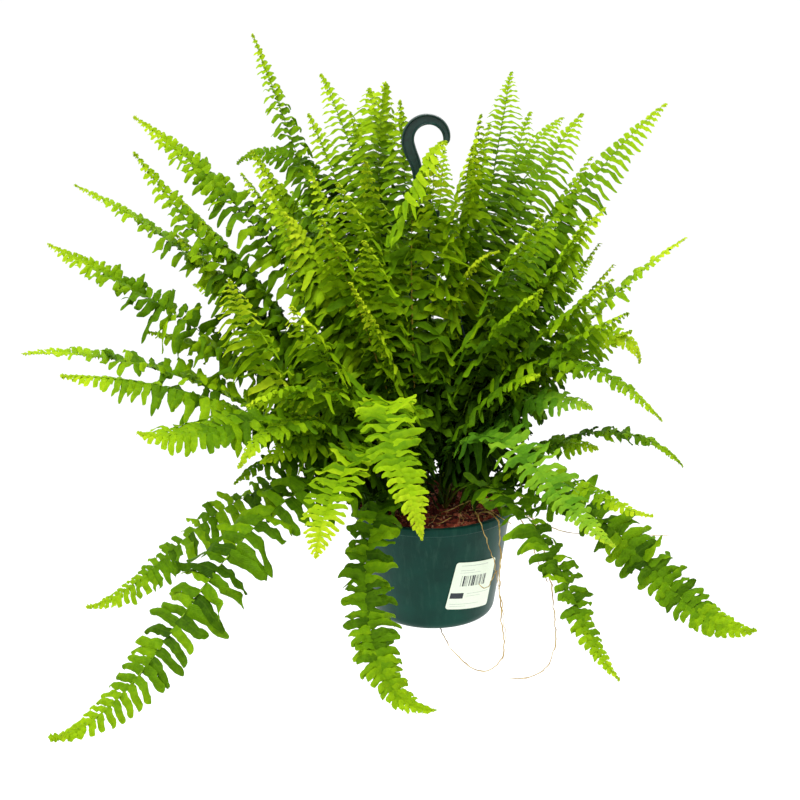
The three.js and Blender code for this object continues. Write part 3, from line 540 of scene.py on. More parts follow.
def hookLine():
    # centre and depth of the section along the hook, as (across, up, depth): the crook is an arc whose depth
    # grows from the tip, and the shank runs through its bends
    a = np.arange(hook["from"], hook["to"] + 1, hook["step"])
    share = np.clip((a - hook["from"]) / (90 - hook["from"]), 0, 1)
    past = np.clip((a - 90) / 100, 0, 1)
    deep = hook["tip"] + (hook["crown"] - hook["tip"]) * share**0.7
    deep += (hook["back"] - deep) * past
    ring = hook["throat"] + deep / 2
    crook = np.stack([ring * np.cos(np.radians(a)), ring * np.sin(np.radians(a)), deep], -1)
    bends = np.array(hook["bends"], float)
    thin = np.clip(np.arange(len(bends)) / 4, 0, 1)
    shank = np.column_stack([bends, hook["back"] + (hook["shank"] - hook["back"]) * thin])
    line = np.vstack([crook, shank])
    line[:, 1] += saddleHeight - hook["throat"]
    return line


def makeHook():
    # At each station the section is an I: at a distance h from its middle the half width is the web's, and
    # swells to the flange's near both edges, where the corners are round. The end is closed by a dome.
    line = splinePath(hookLine(), hook["stations"])
    along = unit(np.gradient(line[:, :2], axis=0))
    out = np.stack([along[:, 1], -along[:, 0]], -1)
    out *= np.sign(out[0] @ np.array([1.0, 0.0]))
    p = np.sin(np.linspace(-math.pi / 2, math.pi / 2, 33))[None]  # across the section, closer near its edges
    deep = line[:, 2:]
    step = np.arange(len(line))[:, None]
    domed = rounded(step / 5)  # the dome at the tip
    half = deep / 2 * np.maximum(domed, 0.05)
    wide = hook["width"] / 2 * np.clip(deep / hook["shank"], 0.62, 1) * np.maximum(domed, 0.05)
    edge = half * (1 - np.abs(p))  # distance in from the nearer edge
    web = np.minimum(hook["web"] / 2, wide)
    swell = 1 - smoothstep(hook["flange"] - 0.7, hook["flange"] + 0.5, edge)
    corner = rounded(edge / hook["corner"], 0.02)
    bossed = smoothstep(0.0, 14.0, step)  # the tip is solid, without the hollow sides
    y = (web + (wide - web) * np.maximum(swell, 1 - bossed)) * corner
    front = np.stack([line[:, :1] + out[:, :1] * half * p, -y, line[:, 1:2] + out[:, 1:] * half * p], -1)
    back = front[:, ::-1] * np.array([1, -1, 1])
    rings = np.concatenate([front, back], 1)
    low, high, r = hubLow, hubLow + hook["hubHeight"], hook["hubRadius"]
    hub = roundedProfile([(0.01, low, 0), (r - 2, low, 0.8), (r, low + 2.5, 1.4), (r, high, 1.4),
                          (8, high, 1.2), (6.4, high + 2.2, 1.0), (0.01, high + 2.2, 0)])
    grid = joinGrids([(rings.reshape(-1, 3), cappedFaces(*rings.shape[:2])), turnedGrid(hub, 72)])
    meshPiece("hook_moulding", grid, [hangerMaterial], "hook", sharp=50)


strand = {"radius": 1.2, "bead": 2.0, "rimRing": 97.4, "headings": [95, 215, 335], "sides": 14}  # mm, degrees


def makeStrand(number, heading):
    # a round cord-like moulding: radius r, swelling to a bead under the rim band and to a collar at the hub
    ring = np.array([hook["socketRing"], strand["rimRing"] - 1.5] + [strand["rimRing"]] * 4)
    height = np.array([hubLow + hook["socketDepth"], pot["height"] + 9, pot["height"] + 4,
                       bandFoot + 0.2, bandFoot - 0.6, bandFoot - 4.4])
    reach = np.concatenate([[0], np.cumsum(np.hypot(np.diff(ring), np.diff(height)))])
    # long steps down to the rim, short ones at the bead
    at = np.concatenate([np.linspace(0, reach[1] - 6, 70), np.linspace(reach[1] - 5, reach[-1], 46)])
    path = polar(heading, np.interp(at, reach, ring), np.interp(at, reach, height))
    under = (at - (reach[4] + 1.6)) / 2.4
    bead = strand["bead"] * np.sqrt(np.clip(1 - under**2, 0, 1))
    collar = 0.5 * np.exp(-((at - 8) / 3.0) ** 2)
    tip = rounded(reach[-1] - at, 0.02)
    radii = np.maximum((strand["radius"] + collar) * tip, bead)
    grid = tubeGrid(path, radii, strand["sides"])
    meshPiece(f"strand_{number}_moulding", grid, [hangerMaterial], f"strand_{number}")


# Moulded polypropylene, near-black green: satin, a little scuffed and pale in places from handling
hangerMaterial = makeFlecked(
    "moulded polypropylene, near-black green", (240.0, 4.0),
    [(0.35, "#0b2621"), (0.65, "#12332c"), (0.85, "#2c5347")],
    (0.15, 0.0002), {"IOR": 1.49, "Specular IOR Level": 0.4}, (0.3, 0.5))
makeHook()
for number, heading in enumerate(strand["headings"], 1):
    makeStrand(number, heading)
print("hook and strands")


# The label on the pot, with plain generic print

label = {
    "heading": 304, "height": 57.5, "width": 63.0, "tall": 63.0, "turn": -8, "thick": 0.4, "off": 0.45,
    "corner": 3.5, "cell": 1.5,  # mm
    # print, from the label's middle: left, right, low, high
    "bars": (-21.5, 19.0, -0.5, 13.5),
    "block": (-29.5, -12.5, -17.0, -9.4),
    "lines": [(-24, 16, 26.5, 27.4), (-24, -4, 20.2, 21.0), (-24, 6, 17.2, 17.9), (-8, 27, -11.0, -10.2),
              (-8, 13, -14.5, -13.8), (-28, 13, -24.9, -24.1), (-27, -6, -27.8, -27.1)],
    "seed": 12,
}


def labelPlace(u, v, out):
    # A point of the label: the sheet is turned by its own angle and bent round the pot wall. In the four
    # corner squares (p, q) goes to (p sqrt(1 - q^2/2), q sqrt(1 - p^2/2)), which rounds the corner.
    r = label["corner"]
    flatU, flatV = label["width"] / 2 - r, label["tall"] / 2 - r
    p = np.maximum(np.abs(u) - flatU, 0) / r
    q = np.maximum(np.abs(v) - flatV, 0) / r
    u = np.sign(u) * (np.minimum(np.abs(u), flatU) + r * p * np.sqrt(1 - q * q / 2))
    v = np.sign(v) * (np.minimum(np.abs(v), flatV) + r * q * np.sqrt(1 - p * p / 2))
    a = math.radians(label["turn"])
    height = label["height"] + u * math.sin(a) + v * math.cos(a)
    ring = wallRadius(height) + label["off"]
    heading = label["heading"] + np.degrees((u * math.cos(a) - v * math.sin(a)) / ring)
    return polar(heading, ring + out, height)


def makeLabel():
    # The print is made of cells of the sheet's own grid, whose lines run along the edges of the print
    random = np.random.default_rng(label["seed"])
    left, right, low, high = label["bars"]
    edges = left + np.cumsum(random.choice([0.5, 0.5, 0.9, 1.4, 2.0], 38))
    edges = edges[edges < right]
    edges = edges[:len(edges) // 2 * 2]
    dark = [(a, b, low, high) for a, b in edges.reshape(-1, 2)] + [label["block"]]
    marks = np.array(dark + label["lines"], float)
    u, v = (np.unique(np.round(np.concatenate([
        np.linspace(-size / 2, size / 2, int(size / label["cell"]) + 1), cuts.ravel()]), 3))
        for size, cuts in ((label["width"], marks[:, :2]), (label["tall"], marks[:, 2:])))
    vv, uu = np.meshgrid(v, u, indexing="ij")
    front, back = labelPlace(uu, vv, label["thick"]), labelPlace(uu, vv, 0.0)
    rows, columns = uu.shape
    sheet = gridFaces(rows, columns)
    under = sheet[:, ::-1] + rows * columns
    index = np.arange(rows * columns).reshape(rows, columns)
    rim = np.concatenate([index[0], index[1:, -1], index[-1, -2::-1], index[-2:0:-1, 0]])
    after = np.roll(rim, -1)
    side = np.stack([rim, rim + rows * columns, after + rows * columns, after], -1)
    midU = ((u[1:] + u[:-1]) / 2)[None, :, None]
    midV = ((v[1:] + v[:-1]) / 2)[:, None, None]
    inside = (midU > marks[:, 0]) & (midU < marks[:, 1]) & (midV > marks[:, 2]) & (midV < marks[:, 3])
    kind = np.where(inside[..., :len(dark)].any(-1), 1, np.where(inside.any(-1), 2, 0)).ravel()
    slots = np.concatenate([kind, np.zeros(len(under) + len(side), int)])
    points = np.concatenate([front.reshape(-1, 3), back.reshape(-1, 3)])
    faces = np.concatenate([sheet, under, side]).tolist()
    materials = [makePaper("coated label paper", "#dfead6", "#e8f2df"),
                 makePaper("black print", "#20262c", "#2c333a"),
                 makePaper("pale grey print", "#b4bdb0", "#c6cec1")]
    meshPiece("label_sheet", (points, faces), materials, "label", sharp=40, slots=slots)


def makePaper(name, dark, light):
    # Coated label paper and its ink: smooth, nearly matte, very faintly fibrous
    return makeFlecked(name, (700.0, 3.0), [(0.3, dark), (0.7, light)], (0.2, 0.0001),
                       {"Roughness": 0.55, "Specular IOR Level": 0.35})


makeLabel()
print("label")


# Runners: the wiry stems that leave the soil and hang over the rim

runner = {
    "radius": 1.1, "strayRadius": 0.75, "sides": 7,  # mm
    "waves": (60, 33, 19, 11), "wander": 0.45,  # lengths of the sines that it wanders by, and how far, mm
    "routes": [
        [(50, -46, 128), (54, -54, 143), (66, -70, 149), (75, -82, 141), (77, -88, 110), (76, -88, 70),
         (78, -86, 25), (82, -84, -15), (76, -80, -40), (60, -78, -52), (40, -76, -46), (22, -72, -28),
         (10, -62, -12), (4, -40, -6)],
        [(58, -30, 128), (64, -33, 143), (80, -42, 152), (96, -52, 148), (108, -60, 126), (120, -70, 96),
         (133, -84, 66)],
        [(66, -4, 128), (74, -6, 144), (92, -12, 156), (112, -22, 142), (130, -34, 100), (142, -50, 40),
         (146, -62, -14), (138, -72, -46), (116, -78, -60), (88, -80, -62)],
    ],
    # finer ones, which only the finished plant has
    "strays": [
        [(40, -12, 137), (42, -36, 152), (45, -62, 158), (52, -88, 147), (59, -84, 126), (68, -74, 97),
         (73, -67, 74), (79, -61, 39), (86, -60, -20)],
        [(41, -14, 137), (52, -34, 152), (64, -66, 154), (76, -72, 146), (91, -66, 133)],
        [(75, -66, 74), (71, -67, 69), (67, -70, 63), (65, -72, 57), (60, -75, 56), (56, -78, 57),
         (52, -81, 64)],
        [(6, -40, 138), (22, -46, 146), (44, -50, 158), (70, -44, 166)],
        [(-2, -70, 136), (8, -76, 140), (20, -72, 145)],
        [(40, -30, 138), (90, -60, 150), (150, -90, 132), (220, -70, 120), (290, -40, 104)],
    ],
    "seed": 5,
}


def makeRunners():
    for number, route in enumerate(runner["routes"], 1):
        grid = runnerGrid(route, runner["radius"], number)
        meshPiece(f"runner_{number}_stem", grid, [runnerMaterial], f"runner_{number}")
    strays = [runnerGrid(route, runner["strayRadius"], 10 + k) for k, route in enumerate(runner["strays"])]
    meshPiece("runner_strays", joinGrids(strays), [runnerMaterial])


def runnerGrid(route, radius, chance):
    # a tube on a Catmull-Rom curve through the route: its place and its radius wander by a few sines, and it
    # thins to the end
    random = np.random.default_rng(runner["seed"] + chance)
    reach = np.linalg.norm(np.diff(np.array(route, float), axis=0), axis=1).sum()
    path = splinePath(route, int(reach / 4) + 4)
    u = np.linspace(0, 1, len(path))
    phase = random.uniform(0, 2 * math.pi, 4)
    wander = sum(np.sin(2 * math.pi * u * reach / length + shift)
                 for length, shift in zip(runner["waves"], phase))
    path[1:-1, 0] += runner["wander"] * wander[1:-1]
    return tubeGrid(path, radius * (0.82 - 0.3 * u + 0.07 * wander), runner["sides"])


makeRunners()
print("runners")


# Leaf and stalk materials

def makeLeafMaterial(name, stops, vein):
    # Living fern leaf, a waxy cuticle over thin green tissue: soft gloss on top, light glowing through,
    # lime where it is young and deep green where it is old, and darker still where the tone carries painted
    # shade, with a pale midrib and fine side veins
    made, tree, body = startMaterial(name)
    place = addNode(tree, "Attribute", {"attribute_name": "leafPlace"})
    parts = addNode(tree, "SeparateXYZ", links={0: place.outputs["Vector"]})  # along, across, chance
    tone = addNode(tree, "Attribute", {"attribute_name": "leafTone"}).outputs["Fac"]
    mottle = addNode(tree, "TexNoise", {"Scale": 160.0, "Detail": 3.0, "Roughness": 0.6},
                     {"Vector": body})  # blotches about 6 mm across
    green = addNode(tree, "ValToRGB", {"stops": stops}, {"Fac": shiftBy(tree, tone, mottle, 0.3)})
    away = addNode(tree, "Math", {"operation": "ABSOLUTE"}, {0: parts.outputs["Y"]})
    rib = addNode(tree, "MapRange", {"From Min": 0.04, "From Max": 0.16, "To Min": 0.06, "To Max": 0.0},
                  {"Value": away})
    slant = addNode(tree, "Math", {"operation": "MULTIPLY_ADD", 1: -0.16}, {0: away, 2: parts})
    wave = addNode(tree, "Math", {"operation": "MULTIPLY", 1: 95.0}, {0: slant})
    veins = addNode(tree, "Math", {"operation": "SINE"}, {0: wave})  # 15 pairs of side veins
    ribbed = addNode(tree, "Mix", {"data_type": "RGBA", 7: linear(vein)}, {0: rib, 6: green}).outputs[2]
    rough = addNode(tree, "MapRange", {"To Min": 0.38, "To Max": 0.62}, {"Value": mottle})
    skin = addSkin(tree, ribbed, veins, (0.35, 0.0004), {"IOR": 1.42, "Specular IOR Level": 0.07}, rough)
    glow = addNode(tree, "BsdfTranslucent", links={"Color": ribbed})
    return finishMaterial(made, addNode(tree, "MixShader", {"Fac": 0.38}, {1: skin, 2: glow}))


def makeStalkMaterial(name, stops):
    # Fern stalk: smooth waxy green rib above, brown and scaly where it leaves the soil
    made, tree, body = startMaterial(name)
    tone = addNode(tree, "Attribute", {"attribute_name": "leafTone"}).outputs["Fac"]
    streak = addNode(tree, "TexNoise", {"Scale": 420.0, "Detail": 2.0}, {"Vector": body})
    colour = addNode(tree, "ValToRGB", {"stops": stops}, {"Fac": shiftBy(tree, tone, streak, 0.2)})
    coat = {"Roughness": 0.6, "IOR": 1.42, "Specular IOR Level": 0.1}
    return finishMaterial(made, addSkin(tree, colour, streak, (0.4, 0.0003), coat))


leafRamp = [(0.0, "#1a2f04"), (0.25, "#385e04"), (0.5, "#689608"), (0.75, "#9ec40e"), (1.0, "#d2e428")]
coolRamp = [(0.0, "#1b380a"), (0.25, "#3a690f"), (0.5, "#629a1c"), (0.75, "#94c02a"), (1.0, "#cade30")]
freshLeaf = makeLeafMaterial("waxy fern leaf", leafRamp, "#a9cf3a")
coolLeaf = makeLeafMaterial("waxy fern leaf, cool", coolRamp, "#9ccf63")
greenStalk = makeStalkMaterial("fern stalk, green",
                               [(0.0, "#4a2f12"), (0.25, "#45520f"), (0.5, "#507010"), (1.0, "#86a828")])
brownStalk = makeStalkMaterial("fern stalk, brown",
                               [(0.0, "#4a2c12"), (0.3, "#7a5518"), (0.6, "#957524"), (1.0, "#a8a23a")])
print("leaf and stalk materials")


# Fronds: each one follows its own solid's rib, with all its leaflets

# what most fronds share, with what each value is
common = {
    "bend": 1.5, "flick": 0, "turn": 0, "roll": 0,  # of the rib, as in ribOf
    "pitch": 10.2,  # distance between pairs of leaflets, mm
    "bare": 0.12,  # share of the rib, from its foot, without leaflets
    "size": 1.07,  # of the leaflets, in leaf lengths
    "slim": 1,  # width of the leaflets; slim ones are more arched and tapered too
    "blunt": 3.6, "round": 0.6,  # how late the blade narrows, and a leaflet closes
    "uneven": 0,  # share by which the right leaflets are longer and the left ones shorter
    "curl": 1.15, "lift": 0.2, "lean": 0,  # how curled, raised and swept (degrees) the leaflets are
    "face": 0,  # degrees that the leaflets at the tip are turned about the rib
    "cool": False, "brown": False,  # bluer leaflets, brown stalk
}
airy = dict(slim=0.78, pitch=11)  # upright fronds that light comes through


def row(heading, length, rise, droop, leaf, tone, **rest):
    # tone is how bright and young the frond is (0 to 1), the rest is as in the solids
    return {**common, "heading": heading, "length": length, "rise": rise, "droop": droop, "leaf": leaf,
            "tone": tone, **rest}


# The fronds of each solid: the second one of a tuft grows from the same foot
fronds = {
    1: [row(181, 600, 75, 71, 43, 0.48, roll=-40, pitch=10, slim=0.75, uneven=0.12, curl=1.7),
        row(172, 480, 74, 58, 43, 0.5, roll=-40, size=1.15, curl=1.6)],
    2: [row(171, 588, 71, 34, 43, 0.5, roll=-30, size=1.15, slim=0.9, curl=1.7, lift=0.45),
        row(168, 460, 73, 52, 42, 0.44, curl=1.6)],
    3: [row(184, 535, 58, 55, 43, 0.46, roll=-35, pitch=13, slim=0.9, curl=1.7, lift=0.5),
        row(178, 490, 66, 43, 43, 0.48, curl=1.6)],
    4: [row(172, 566, 60, 25, 43, 0.5, slim=0.9, curl=1.7, lift=0.45),
        row(178, 390, 57, 8, 43, 0.46, size=1.2, curl=1.6)],
    5: [row(178, 528, 51, 22, 47, 0.5, flick=5, roll=-25, pitch=9.5, slim=0.9, uneven=-0.15, curl=1.7,
            lift=0.55),
        row(175, 430, 62, 42, 46, 0.44, curl=1.6)],
    6: [row(187, 492, 47, -1, 44, 0.52, size=1.2, lift=0.6)],
    7: [row(199, 450, 48, 0, 44, 0.5, flick=8, roll=-12, lift=0.0),
        row(210, 330, 54, -6, 38, 0.44, roll=-20)],
    8: [row(216, 420, 63, -50, 43, 0.46, bend=1.42, flick=76, roll=-15, blunt=8, round=0.8, uneven=0.1),
        row(224, 280, 62, -20, 38, 0.45, roll=-20)],
    9: [row(196, 445, 67, -76, 40, 0.46, bend=0.67, flick=77, turn=12, roll=-20, round=0.8, uneven=-0.14)],
    10: [row(226, 618, 84, -84, 50, 0.42, bend=0.58, flick=90, turn=-14, roll=-30, pitch=14, slim=1.1,
             round=0.8, uneven=-0.06),
         row(206, 440, 83, 78, 43, 0.58, roll=50, pitch=13, curl=1.6)],
    11: [row(163, 542, 81, 69, 40, 0.22, flick=-115, roll=-50)],
    12: [row(200, 446, 61, 94, 29, 0.5, **airy, flick=-34, roll=-60),
         row(190, 430, 74, 64, 40, 0.46, **airy, roll=-40)],
    13: [row(168, 500, 82, 66, 35, 0.48, **airy, roll=-50, size=1.15, blunt=6, uneven=0.15),
         row(192, 440, 78, 68, 43, 0.52, **airy, roll=-50)],
    14: [row(146, 546, 85, 61, 40, 0.46, **airy, roll=-30, size=1.15, blunt=6, uneven=0.15),
         row(150, 490, 83, 74, 45, 0.46, **airy, roll=-20)],
    15: [row(161, 520, 81, 90, 47, 0.46, flick=14, roll=-20, pitch=10, size=1.15, slim=0.9, blunt=12,
             curl=1.5)],
    16: [row(125, 517, 84, 70, 43, 0.44, roll=-20, pitch=10, size=1.15, slim=0.9, blunt=12, curl=1.5),
         row(150, 496, 87, 87, 43, 0.46, roll=-20, pitch=10, slim=0.9, blunt=6, curl=1.5)],
    17: [row(245, 476, 78, 106, 43, 0.5, bend=1.45, flick=-72, turn=105, pitch=11, size=1.3, slim=0.75,
             blunt=8, curl=2.6, face=40, brown=True),
         row(212, 400, 74, 66, 40, 0.54, roll=30, pitch=12, blunt=7, curl=1.7)],
    18: [row(32, 533, 81, 77, 38, 0.44, roll=40, pitch=8.5, size=1.08, slim=0.78, blunt=8),
         row(20, 470, 86, 78, 43, 0.42, **airy, roll=20)],
    19: [row(53, 510, 76, 54, 40, 0.4, **airy, roll=30, blunt=6)],
    20: [row(47, 538, 84, 34, 40, 0.44, **airy, bend=1.68, flick=-13, turn=-6, roll=20, blunt=6),
         row(30, 450, 76, 58, 43, 0.42, **airy, roll=30)],
    21: [row(21, 514, 83, 49, 45, 0.44, **airy, turn=-5, roll=35, blunt=6),
         row(10, 465, 76, 54, 43, 0.42, **airy, roll=20)],
    22: [row(5, 561, 78, 39, 48, 0.5, roll=35, pitch=11, slim=0.85),
         row(350, 420, 74, 50, 45, 0.5, roll=30, pitch=11, slim=0.85)],
    23: [row(356, 431, 64, 35, 43, 0.6, lift=0.6),
         row(342, 320, 66, 26, 40, 0.48, roll=-25)],
    24: [row(16, 370, 67, 50, 16, 0.5, roll=40),
         row(8, 430, 76, 60, 43, 0.42, roll=35)],
    25: [row(2, 356, 66, 48, 16, 0.55, roll=40),
         row(345, 400, 74, 58, 40, 0.46, roll=-35)],
    26: [row(345, 370, 71, 31, 40, 0.56, flick=-120, roll=30),
         row(332, 370, 72, 36, 43, 0.48, roll=-25, curl=1.4)],
    27: [row(325, 432, 84, -77, 36, 0.46, bend=1.67, flick=37, roll=-5),
         row(312, 350, 80, 36, 40, 0.46, roll=-20, bare=0.22, curl=1.5)],
    28: [row(340, 316, 55, -32, 34, 0.42, bend=1.55, flick=-19, turn=-4, roll=-5, pitch=8.5, size=0.62,
             blunt=8, round=0.75, uneven=-0.15, curl=1.6, lift=0.15),
         row(330, 215, 62, -10, 36, 0.44, roll=20)],
    29: [row(295, 432, 88, -70, 49, 0.5, bend=0.9, flick=60, turn=16, roll=10, pitch=9.5, bare=0.2, size=0.74,
             round=0.8, uneven=-0.15, lift=0.35, lean=-10, cool=True),
         row(324, 300, 74, -15, 42, 0.46, roll=20, bare=0.22)],
    30: [row(310, 333, 60, -49, 28, 0.56, bend=1.09, flick=56, turn=10, roll=20, pitch=8.5, size=0.85,
             round=0.75)],
    31: [row(320, 446, 65, -86, 46, 0.4, bend=0.74, flick=115, turn=8, roll=40, pitch=9.5, size=0.76,
             slim=1.15, blunt=6, round=0.8, uneven=-0.1, curl=1.3, lift=0.35, lean=-8),
         row(336, 350, 70, 26, 40, 0.44, roll=-30, curl=1.4)],
    32: [row(300, 415, 76, -94, 42, 0.46, bend=0.74, flick=70, turn=8, roll=-8, pitch=9.5, bare=0.2,
             size=0.84, slim=1.15, round=0.8, uneven=0.12, lift=0.4, lean=-14),
         row(306, 290, 76, 14, 38, 0.45, roll=15, bare=0.22)],
    33: [row(244, 430, 80, -116, 40, 0.43, bend=0.7, flick=122, turn=123, pitch=8.6, size=0.82, slim=1.25,
             blunt=9, round=0.8, uneven=-0.08, lift=0.4, lean=-14)],
    34: [row(243, 356, 67, -82, 45, 0.62, flick=16, turn=6, pitch=8, bare=0.2, size=0.86, slim=0.9, blunt=7,
             round=0.8, lift=0.4, lean=-16),
         row(224, 363, 62, -13, 38, 0.5, bend=1.4, flick=-39, turn=9)],
    35: [row(249, 458, 77, -92, 48, 0.58, bend=1.57, flick=13, turn=79, pitch=8, bare=0.2, size=0.76, blunt=7,
             round=0.8, lift=0.4, lean=-16),
         row(250, 230, 72, 10, 36, 0.4)],
    36: [row(211, 386, 47, 70, 37, 0.7, flick=10, roll=50, pitch=9.5, bare=0.2, size=1.0, slim=0.85, blunt=9,
             curl=1.5),
         row(230, 340, 66, 52, 38, 0.62, roll=20, pitch=12, slim=0.85, blunt=7, curl=1.7)],
    37: [row(227, 360, 69, -10, 36, 0.5, roll=35, pitch=9.5, size=1.0, slim=0.85, blunt=9, curl=1.8),
         row(238, 370, 80, 66, 40, 0.55, roll=15, pitch=12, slim=0.85, blunt=7, curl=1.7)],
    38: [row(197, 408, 75, 60, 40, 0.64, roll=-50, pitch=12, slim=0.85, blunt=8, curl=1.8),
         row(222, 430, 81, 68, 43, 0.56, roll=30, pitch=12, slim=0.85, blunt=7, curl=1.7)],
    39: [row(237, 345, 81, 42, 16, 0.8, bend=1.35, flick=17, turn=-9, curl=2.0),
         row(288, 445, 87, 78, 40, 0.6, pitch=13, bare=0.22, blunt=6, curl=1.7)],
    40: [row(311, 372, 90, 71, 16, 0.72, flick=-64, turn=6, curl=2.0),
         row(312, 455, 87, 76, 42, 0.56, bare=0.22, blunt=6, curl=1.4)],
    41: [row(0, 440, 92, 72, 18, 0.75, curl=2.0),
         row(340, 485, 87, 80, 43, 0.5, blunt=5, curl=1.4)],
    42: [row(209, 260, 56, -27, 40, 0.3, flick=-12)],
    43: [row(352, 396, 81, 55, 52, 0.3, roll=40),
         row(316, 410, 80, 54, 45, 0.46, roll=-25, curl=1.5)],
    44: [row(194, 350, 57, 116, 43, 0.45, flick=-12, roll=-40, pitch=14, curl=1.6)],
    45: [row(104, 520, 74, 10, 45, 0.4),
         row(80, 460, 78, 50, 44, 0.42)],
    46: [row(122, 500, 73, 12, 45, 0.4),
         row(140, 460, 74, 36, 44, 0.42)],
    47: [row(60, 400, 58, -40, 45, 0.4),
         row(44, 400, 64, 14, 44, 0.42)],
    48: [row(88, 420, 56, -44, 45, 0.4)],
    49: [row(116, 410, 57, -42, 45, 0.42)],
    50: [row(142, 420, 58, -30, 45, 0.42),
         row(158, 400, 62, 14, 44, 0.42)],
}

growth = {
    "crowd": 0.42,  # how much closer the leaflets stand at the tip
    "end": 0.995,  # place on the rib of the last one
    "stations": 12,  # along one leaflet
    "thickness": 0.55,  # of a leaflet, mm
    "overlap": 0.9,  # of a leaflet's root past the rib's middle, mm
    "sway": 12, "tilt": 30,  # degrees that a leaflet turns to the tip, and about its axis, by chance
    "footRing": (12, 56), "footDepth": 12,  # where the stalks start, mm
    "stalkWidth": 3.0, "ribWidth": 2.0, "stalkSides": 8, "stalkStations": 56, "ribSteps": 48,
    "seed": 6999,  # and a frond's number is added
}


def turned(a, b, angle):
    # two directions square to each other, turned in their own plane
    c, n = np.cos(angle)[..., None], np.sin(angle)[..., None]
    return a * c - b * n, b * c + a * n


def footOf(frond):
    # the flatter a frond rises, the further from the axis it stands: 1 mm for each degree
    low, high = growth["footRing"]
    ring = min(max(100 - frond["rise"], low), high)
    return polar(frond["heading"], ring, soilHeight(ring) - growth["footDepth"])


def ribOf(frond, foot):
    # A line of constant step whose elevation is rise + (droop - rise) s^bend + flick s^6 and whose heading is
    # heading + turn s^3, rolled about itself by roll (1 - (1 - s)^2), as in the solids
    bend, flick, turn, roll = (frond[key] for key in ("bend", "flick", "turn", "roll"))
    steps = growth["ribSteps"]

    def angles(s):
        lift = np.radians(frond["rise"] + (frond["droop"] - frond["rise"]) * s**bend + flick * s**6)
        return lift, np.radians(frond["heading"] + turn * s**3)

    def alongAt(s):
        lift, heading = angles(s)
        return np.stack([np.cos(lift) * np.cos(heading), np.cos(lift) * np.sin(heading), np.sin(lift)], -1)

    middle = (np.arange(steps) + 0.5) / steps
    places = np.vstack([foot, foot + np.cumsum(alongAt(middle), 0) * frond["length"] / steps])

    def at(s):
        whole = np.linspace(0, 1, steps + 1)
        place = np.stack([np.interp(s, whole, places[:, k]) for k in range(3)], -1)
        along = alongAt(s)
        heading = angles(s)[1]
        level = np.stack([np.sin(heading), -np.cos(heading), 0 * heading], -1)
        side, up = turned(level, np.cross(level, along), np.radians(roll) * (1 - (1 - s) ** 2))
        return place, along, side, up

    return at


def leafShare(q, blunt):
    # a leaflet's length as a share of the longest: min(1, 0.6 + 2 q) (1 - 0.9 q^blunt)
    return np.minimum(1, 0.6 + 2 * q) * (1 - 0.9 * q**blunt)


def stalkGrid(frond, ribAt):
    # an oval tube under the rib's line, thick and round at the foot and narrowing to the tip
    count = growth["stalkStations"]
    s = np.linspace(0, growth["end"], count)
    place, along, side, up = ribAt(s)
    fine = smoothstep(0.05, 0.5, s)
    width = growth["stalkWidth"] * (1 - fine) + growth["ribWidth"] * (1 - 0.62 * s) * fine
    width *= 0.62 + 0.38 * min(frond["leaf"] / 26, 1)  # young fronds are thinner
    thick = width * (0.78 - 0.2 * fine)
    a = np.linspace(0, 2 * math.pi, growth["stalkSides"], endpoint=False)
    centre = place - up * (thick / 2)[:, None]
    points = (centre[:, None] + side[:, None] * (np.cos(a)[None] * width[:, None] / 2)[..., None]
              + up[:, None] * (np.sin(a)[None] * thick[:, None] / 2)[..., None])
    tone = np.repeat((0.12 + 0.5 * smoothstep(0.02, 0.3, s) + 0.25 * s)[:, None], len(a), 1)
    return points.reshape(-1, 3), cappedFaces(count, len(a)), tone.ravel()


